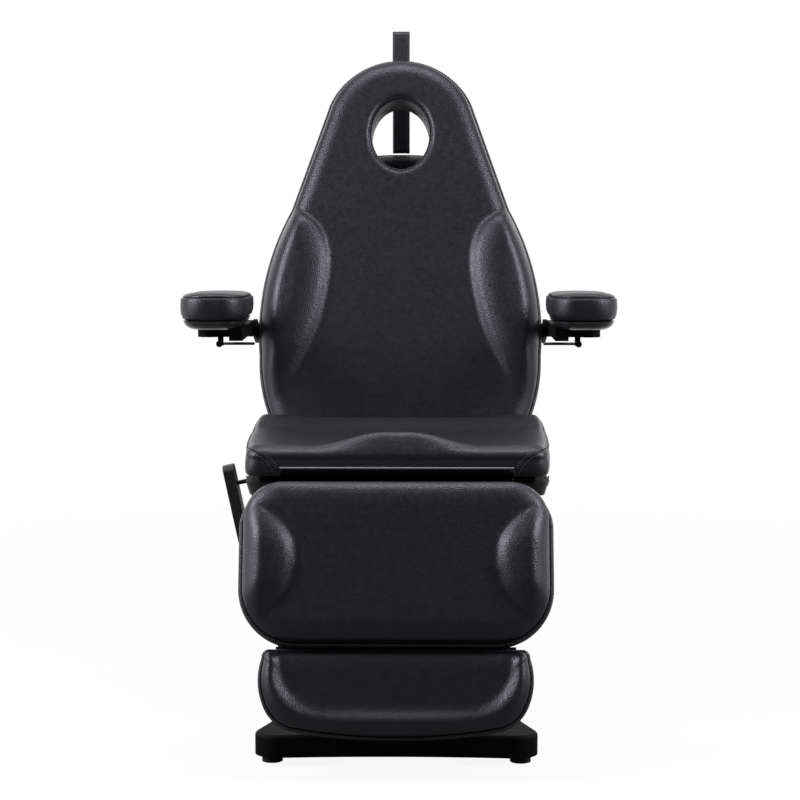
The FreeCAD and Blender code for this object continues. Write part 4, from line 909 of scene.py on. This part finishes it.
def strapMesh():
    path = strapPath()
    section = [(x * strap["half"], y * strap["thick"]) for x, y in strap["section"]]
    section += [(-x, y) for x, y in reversed(section[:-1])]
    section += [(x, -y) for x, y in reversed(section[1:-1])]
    verts, sides = [], []
    for i, point in enumerate(path):
        along = (path[min(len(path) - 1, i + 1)] - path[max(0, i - 1)]).normalized()
        out = Vector((0, -along.z, along.y))
        verts += [point + Vector((x * mm, 0, 0)) + out * y * mm for x, y in section]
        sides.append((point, out))
    count = len(section)
    ends = [tuple(range(count)), tuple(range(len(verts) - count, len(verts)))]
    level = strap["stitchShare"] * strap["thick"] * mm
    rows = [[point + Vector((x * mm, 0, 0)) + out * face * level for point, out in sides]
            for x in (-strap["stitchAt"], strap["stitchAt"]) for face in (-1, 1)]
    return verts, bandFaces(len(path), count) + ends, rows


strapVerts, strapFaces, strapRows = strapMesh()
pillowStrap = meshObject("pillowStrap", strapVerts, strapFaces, leather)
settle(pillowStrap, "back", "webbing", "pillow_strap")
stitchRows("strapStitches", strapRows, "back", closed=False)
print("strap done")


# Handset cable: the same route as the cable's solid, as one smooth line
cable = {
    "diameter": 5.0, "length": 0.607,  # the length is in metres
    "route": [
        (-311.7, -170.0, 398.6), (-303.0, -170.0, 357.6), (-290.0, -172.0, 312.0), (-274.0, -177.0, 266.0),
        (-257.0, -186.0, 222.0), (-241.0, -199.0, 188.0), (-230.0, -219.0, 170.0), (-228.0, -243.0, 179.0),
        (-235.0, -257.0, 209.0), (-246.0, -262.0, 249.0), (-257.0, -263.0, 293.0), (-267.0, -260.0, 338.0),
        (-275.0, -253.0, 383.0), (-281.5, -243.0, 427.0), (-284.0, -236.0, 465.0), (-284.0, -236.0, 498.0)],
    "hingeY": 294.0,  # the back hinge in the route's own lengths, which gives the shift to the frame
}
shift = backHinge.y / mm - cable["hingeY"]
cableCurve = bpy.data.curves.new("handsetCable", "CURVE")
cableCurve.dimensions = "3D"
cableCurve.bevel_depth = cable["diameter"] / 2 * mm
cableCurve.bevel_resolution = 3
cableLine = cableCurve.splines.new("NURBS")
cableLine.points.add(len(cable["route"]) - 1)
for point, (x, y, z) in zip(cableLine.points, cable["route"]):
    point.co = (x * mm, (y + shift) * mm, z * mm, 1.0)
cableLine.order_u = 3
cableLine.use_endpoint_u = True
cableLine.resolution_u = 8
cableCurve.materials.append(softRubber)
handsetCable = bpy.data.objects.new("handsetCable", cableCurve)
bpy.context.scene.collection.objects.link(handsetCable)
settle(handsetCable, "seat", "rubber", "handset_cable")
print("cable done")


# Floor, light and camera, in metres and watts
studio = {
    "floorHalf": 15.0, "floorColour": "#f4f4f4", "bounceColour": "#707070",
    "shadowFrom": 0.8, "shadowTo": 3.5, "shadowWhite": 0.92,  # the floor keeps its shadow near the chair
    "roomY": (-0.6, 0.9), "frontLevel": 0.08, "rearLevel": 0.16,
    "sweepY": (0.0, 1.5), "backdropY": (0.1, 0.7),  # where the white backdrop starts and is full
    "cameraPlace": (0.05, -4.443, 1.115), "pitch": 5.69, "turn": 0.61, "lens": 94.05,
    "boxes": {  # place, aim, width, height and power
        "topBox": ((0.0, 0.0, 3.1), (0.0, -0.2, 0.6), 2.4, 0.5, 30),
        "leftBox": ((-2.2, -1.0, 2.1), (0.0, -0.1, 0.6), 0.9, 1.4, 64),
        "rightBox": ((2.2, -1.0, 2.1), (0.0, -0.1, 0.6), 0.9, 1.4, 52),
        "lowLeftBox": ((-2.4, -0.7, 0.8), (0.0, -0.3, 0.6), 1.5, 1.4, 12),
        "lowRightBox": ((2.4, -0.7, 0.8), (0.0, -0.3, 0.6), 1.5, 1.4, 6),
        "rearLeftBox": ((-1.9, 2.5, 2.0), (0.0, 0.2, 0.8), 1.2, 1.2, 9),
        "rearRightBox": ((1.9, 2.5, 2.0), (0.0, 0.2, 0.8), 1.2, 1.2, 9),
    },
}
floorMesh = bpy.data.meshes.new("studioFloor")
wide = studio["floorHalf"]
floorMesh.from_pydata([(-wide, -wide, 0), (wide, -wide, 0), (wide, wide, 0), (-wide, wide, 0)], [],
                      [(0, 1, 2, 3)])
floor = bpy.data.objects.new("studioFloor", floorMesh)
bpy.context.scene.collection.objects.link(floor)


# White seen straight or through glass, and in a gleam where the backdrop stands behind the chair
def shownWhite(tree, depth, start, end):
    path = addNode(tree, "ShaderNodeLightPath").outputs
    rear = addNode(tree, "ShaderNodeMapRange", {"Value": depth, "From Min": start, "From Max": end})
    gleam = addNode(tree, "ShaderNodeMath", {0: path["Is Glossy Ray"], 1: rear.outputs[0]},
                    operation="MULTIPLY")
    through = addNode(tree, "ShaderNodeMath", {0: path["Is Camera Ray"], 1: path["Is Transmission Ray"]},
                      operation="MAXIMUM")
    return addNode(tree, "ShaderNodeMath", {0: gleam.outputs[0], 1: through.outputs[0]},
                   operation="MAXIMUM").outputs[0]


floorFinish, tree = newMaterial("paleStudioFloor")
spot = addNode(tree, "ShaderNodeTexCoord").outputs["Object"]
spotY = addNode(tree, "ShaderNodeSeparateXYZ", {0: spot}).outputs["Y"]
shown = shownWhite(tree, spotY, *studio["sweepY"])
paint = addNode(tree, "ShaderNodeMix",
                {0: shown, 6: hexLinear(studio["bounceColour"]), 7: hexLinear(studio["floorColour"])},
                data_type="RGBA")
plain = addNode(tree, "ShaderNodeBsdfDiffuse", {"Color": paint.outputs[2]})
white = addNode(tree, "ShaderNodeEmission", {"Color": (1, 1, 1, 1), "Strength": 1.0})
away = addNode(tree, "ShaderNodeVectorMath", {0: spot}, operation="LENGTH")
near = addNode(tree, "ShaderNodeMapRange",
               {"Value": away.outputs["Value"], "From Min": studio["shadowFrom"],
                "From Max": studio["shadowTo"], "To Min": studio["shadowWhite"], "To Max": 1.0})
share = addNode(tree, "ShaderNodeMath", {0: shown, 1: near.outputs[0]}, operation="MULTIPLY")
mixed = addNode(tree, "ShaderNodeMixShader", {0: share.outputs[0], 1: plain.outputs[0], 2: white.outputs[0]})
addNode(tree, "ShaderNodeOutputMaterial", {"Surface": mixed.outputs[0]})
floorMesh.materials.append(floorFinish)

world = bpy.data.worlds.new("studioWorld")
bpy.context.scene.world = world
world.use_nodes = True
tree = world.node_tree
tree.nodes.clear()
# the room is dim in front of the chair and a little brighter behind it
way = addNode(tree, "ShaderNodeTexCoord").outputs["Generated"]
wayY = addNode(tree, "ShaderNodeSeparateXYZ", {0: way}).outputs["Y"]
room = addNode(tree, "ShaderNodeMapRange",
               {"Value": wayY, "From Min": studio["roomY"][0], "From Max": studio["roomY"][1],
                "To Min": studio["frontLevel"], "To Max": studio["rearLevel"]})
shown = shownWhite(tree, wayY, *studio["backdropY"])
level = addNode(tree, "ShaderNodeMix", {0: shown, 2: room.outputs[0], 3: 1.0}, data_type="FLOAT")
sky = addNode(tree, "ShaderNodeBackground", {"Color": (1, 1, 1, 1), "Strength": level.outputs[0]})
addNode(tree, "ShaderNodeOutputWorld", {"Surface": sky.outputs[0]})


def softbox(name, place, aim, width, height, watts):
    light = bpy.data.lights.new(name, "AREA")
    light.shape = "RECTANGLE"
    light.size, light.size_y, light.energy = width, height, watts
    holder = bpy.data.objects.new(name, light)
    holder.location = place
    holder.rotation_euler = (Vector(aim) - Vector(place)).to_track_quat("-Z", "Y").to_euler()
    bpy.context.scene.collection.objects.link(holder)


for name, settings in studio["boxes"].items():
    softbox(name, *settings)

camera = bpy.data.cameras.new("photoCamera")
camera.lens = studio["lens"]
cameraHolder = bpy.data.objects.new("photoCamera", camera)
cameraHolder.location = studio["cameraPlace"]
cameraHolder.rotation_euler = (math.radians(90 - studio["pitch"]), 0.0, math.radians(studio["turn"]))
bpy.context.scene.collection.objects.link(cameraHolder)
bpy.context.scene.camera = cameraHolder
bpy.context.scene.view_settings.view_transform = "Standard"
print("studio done")
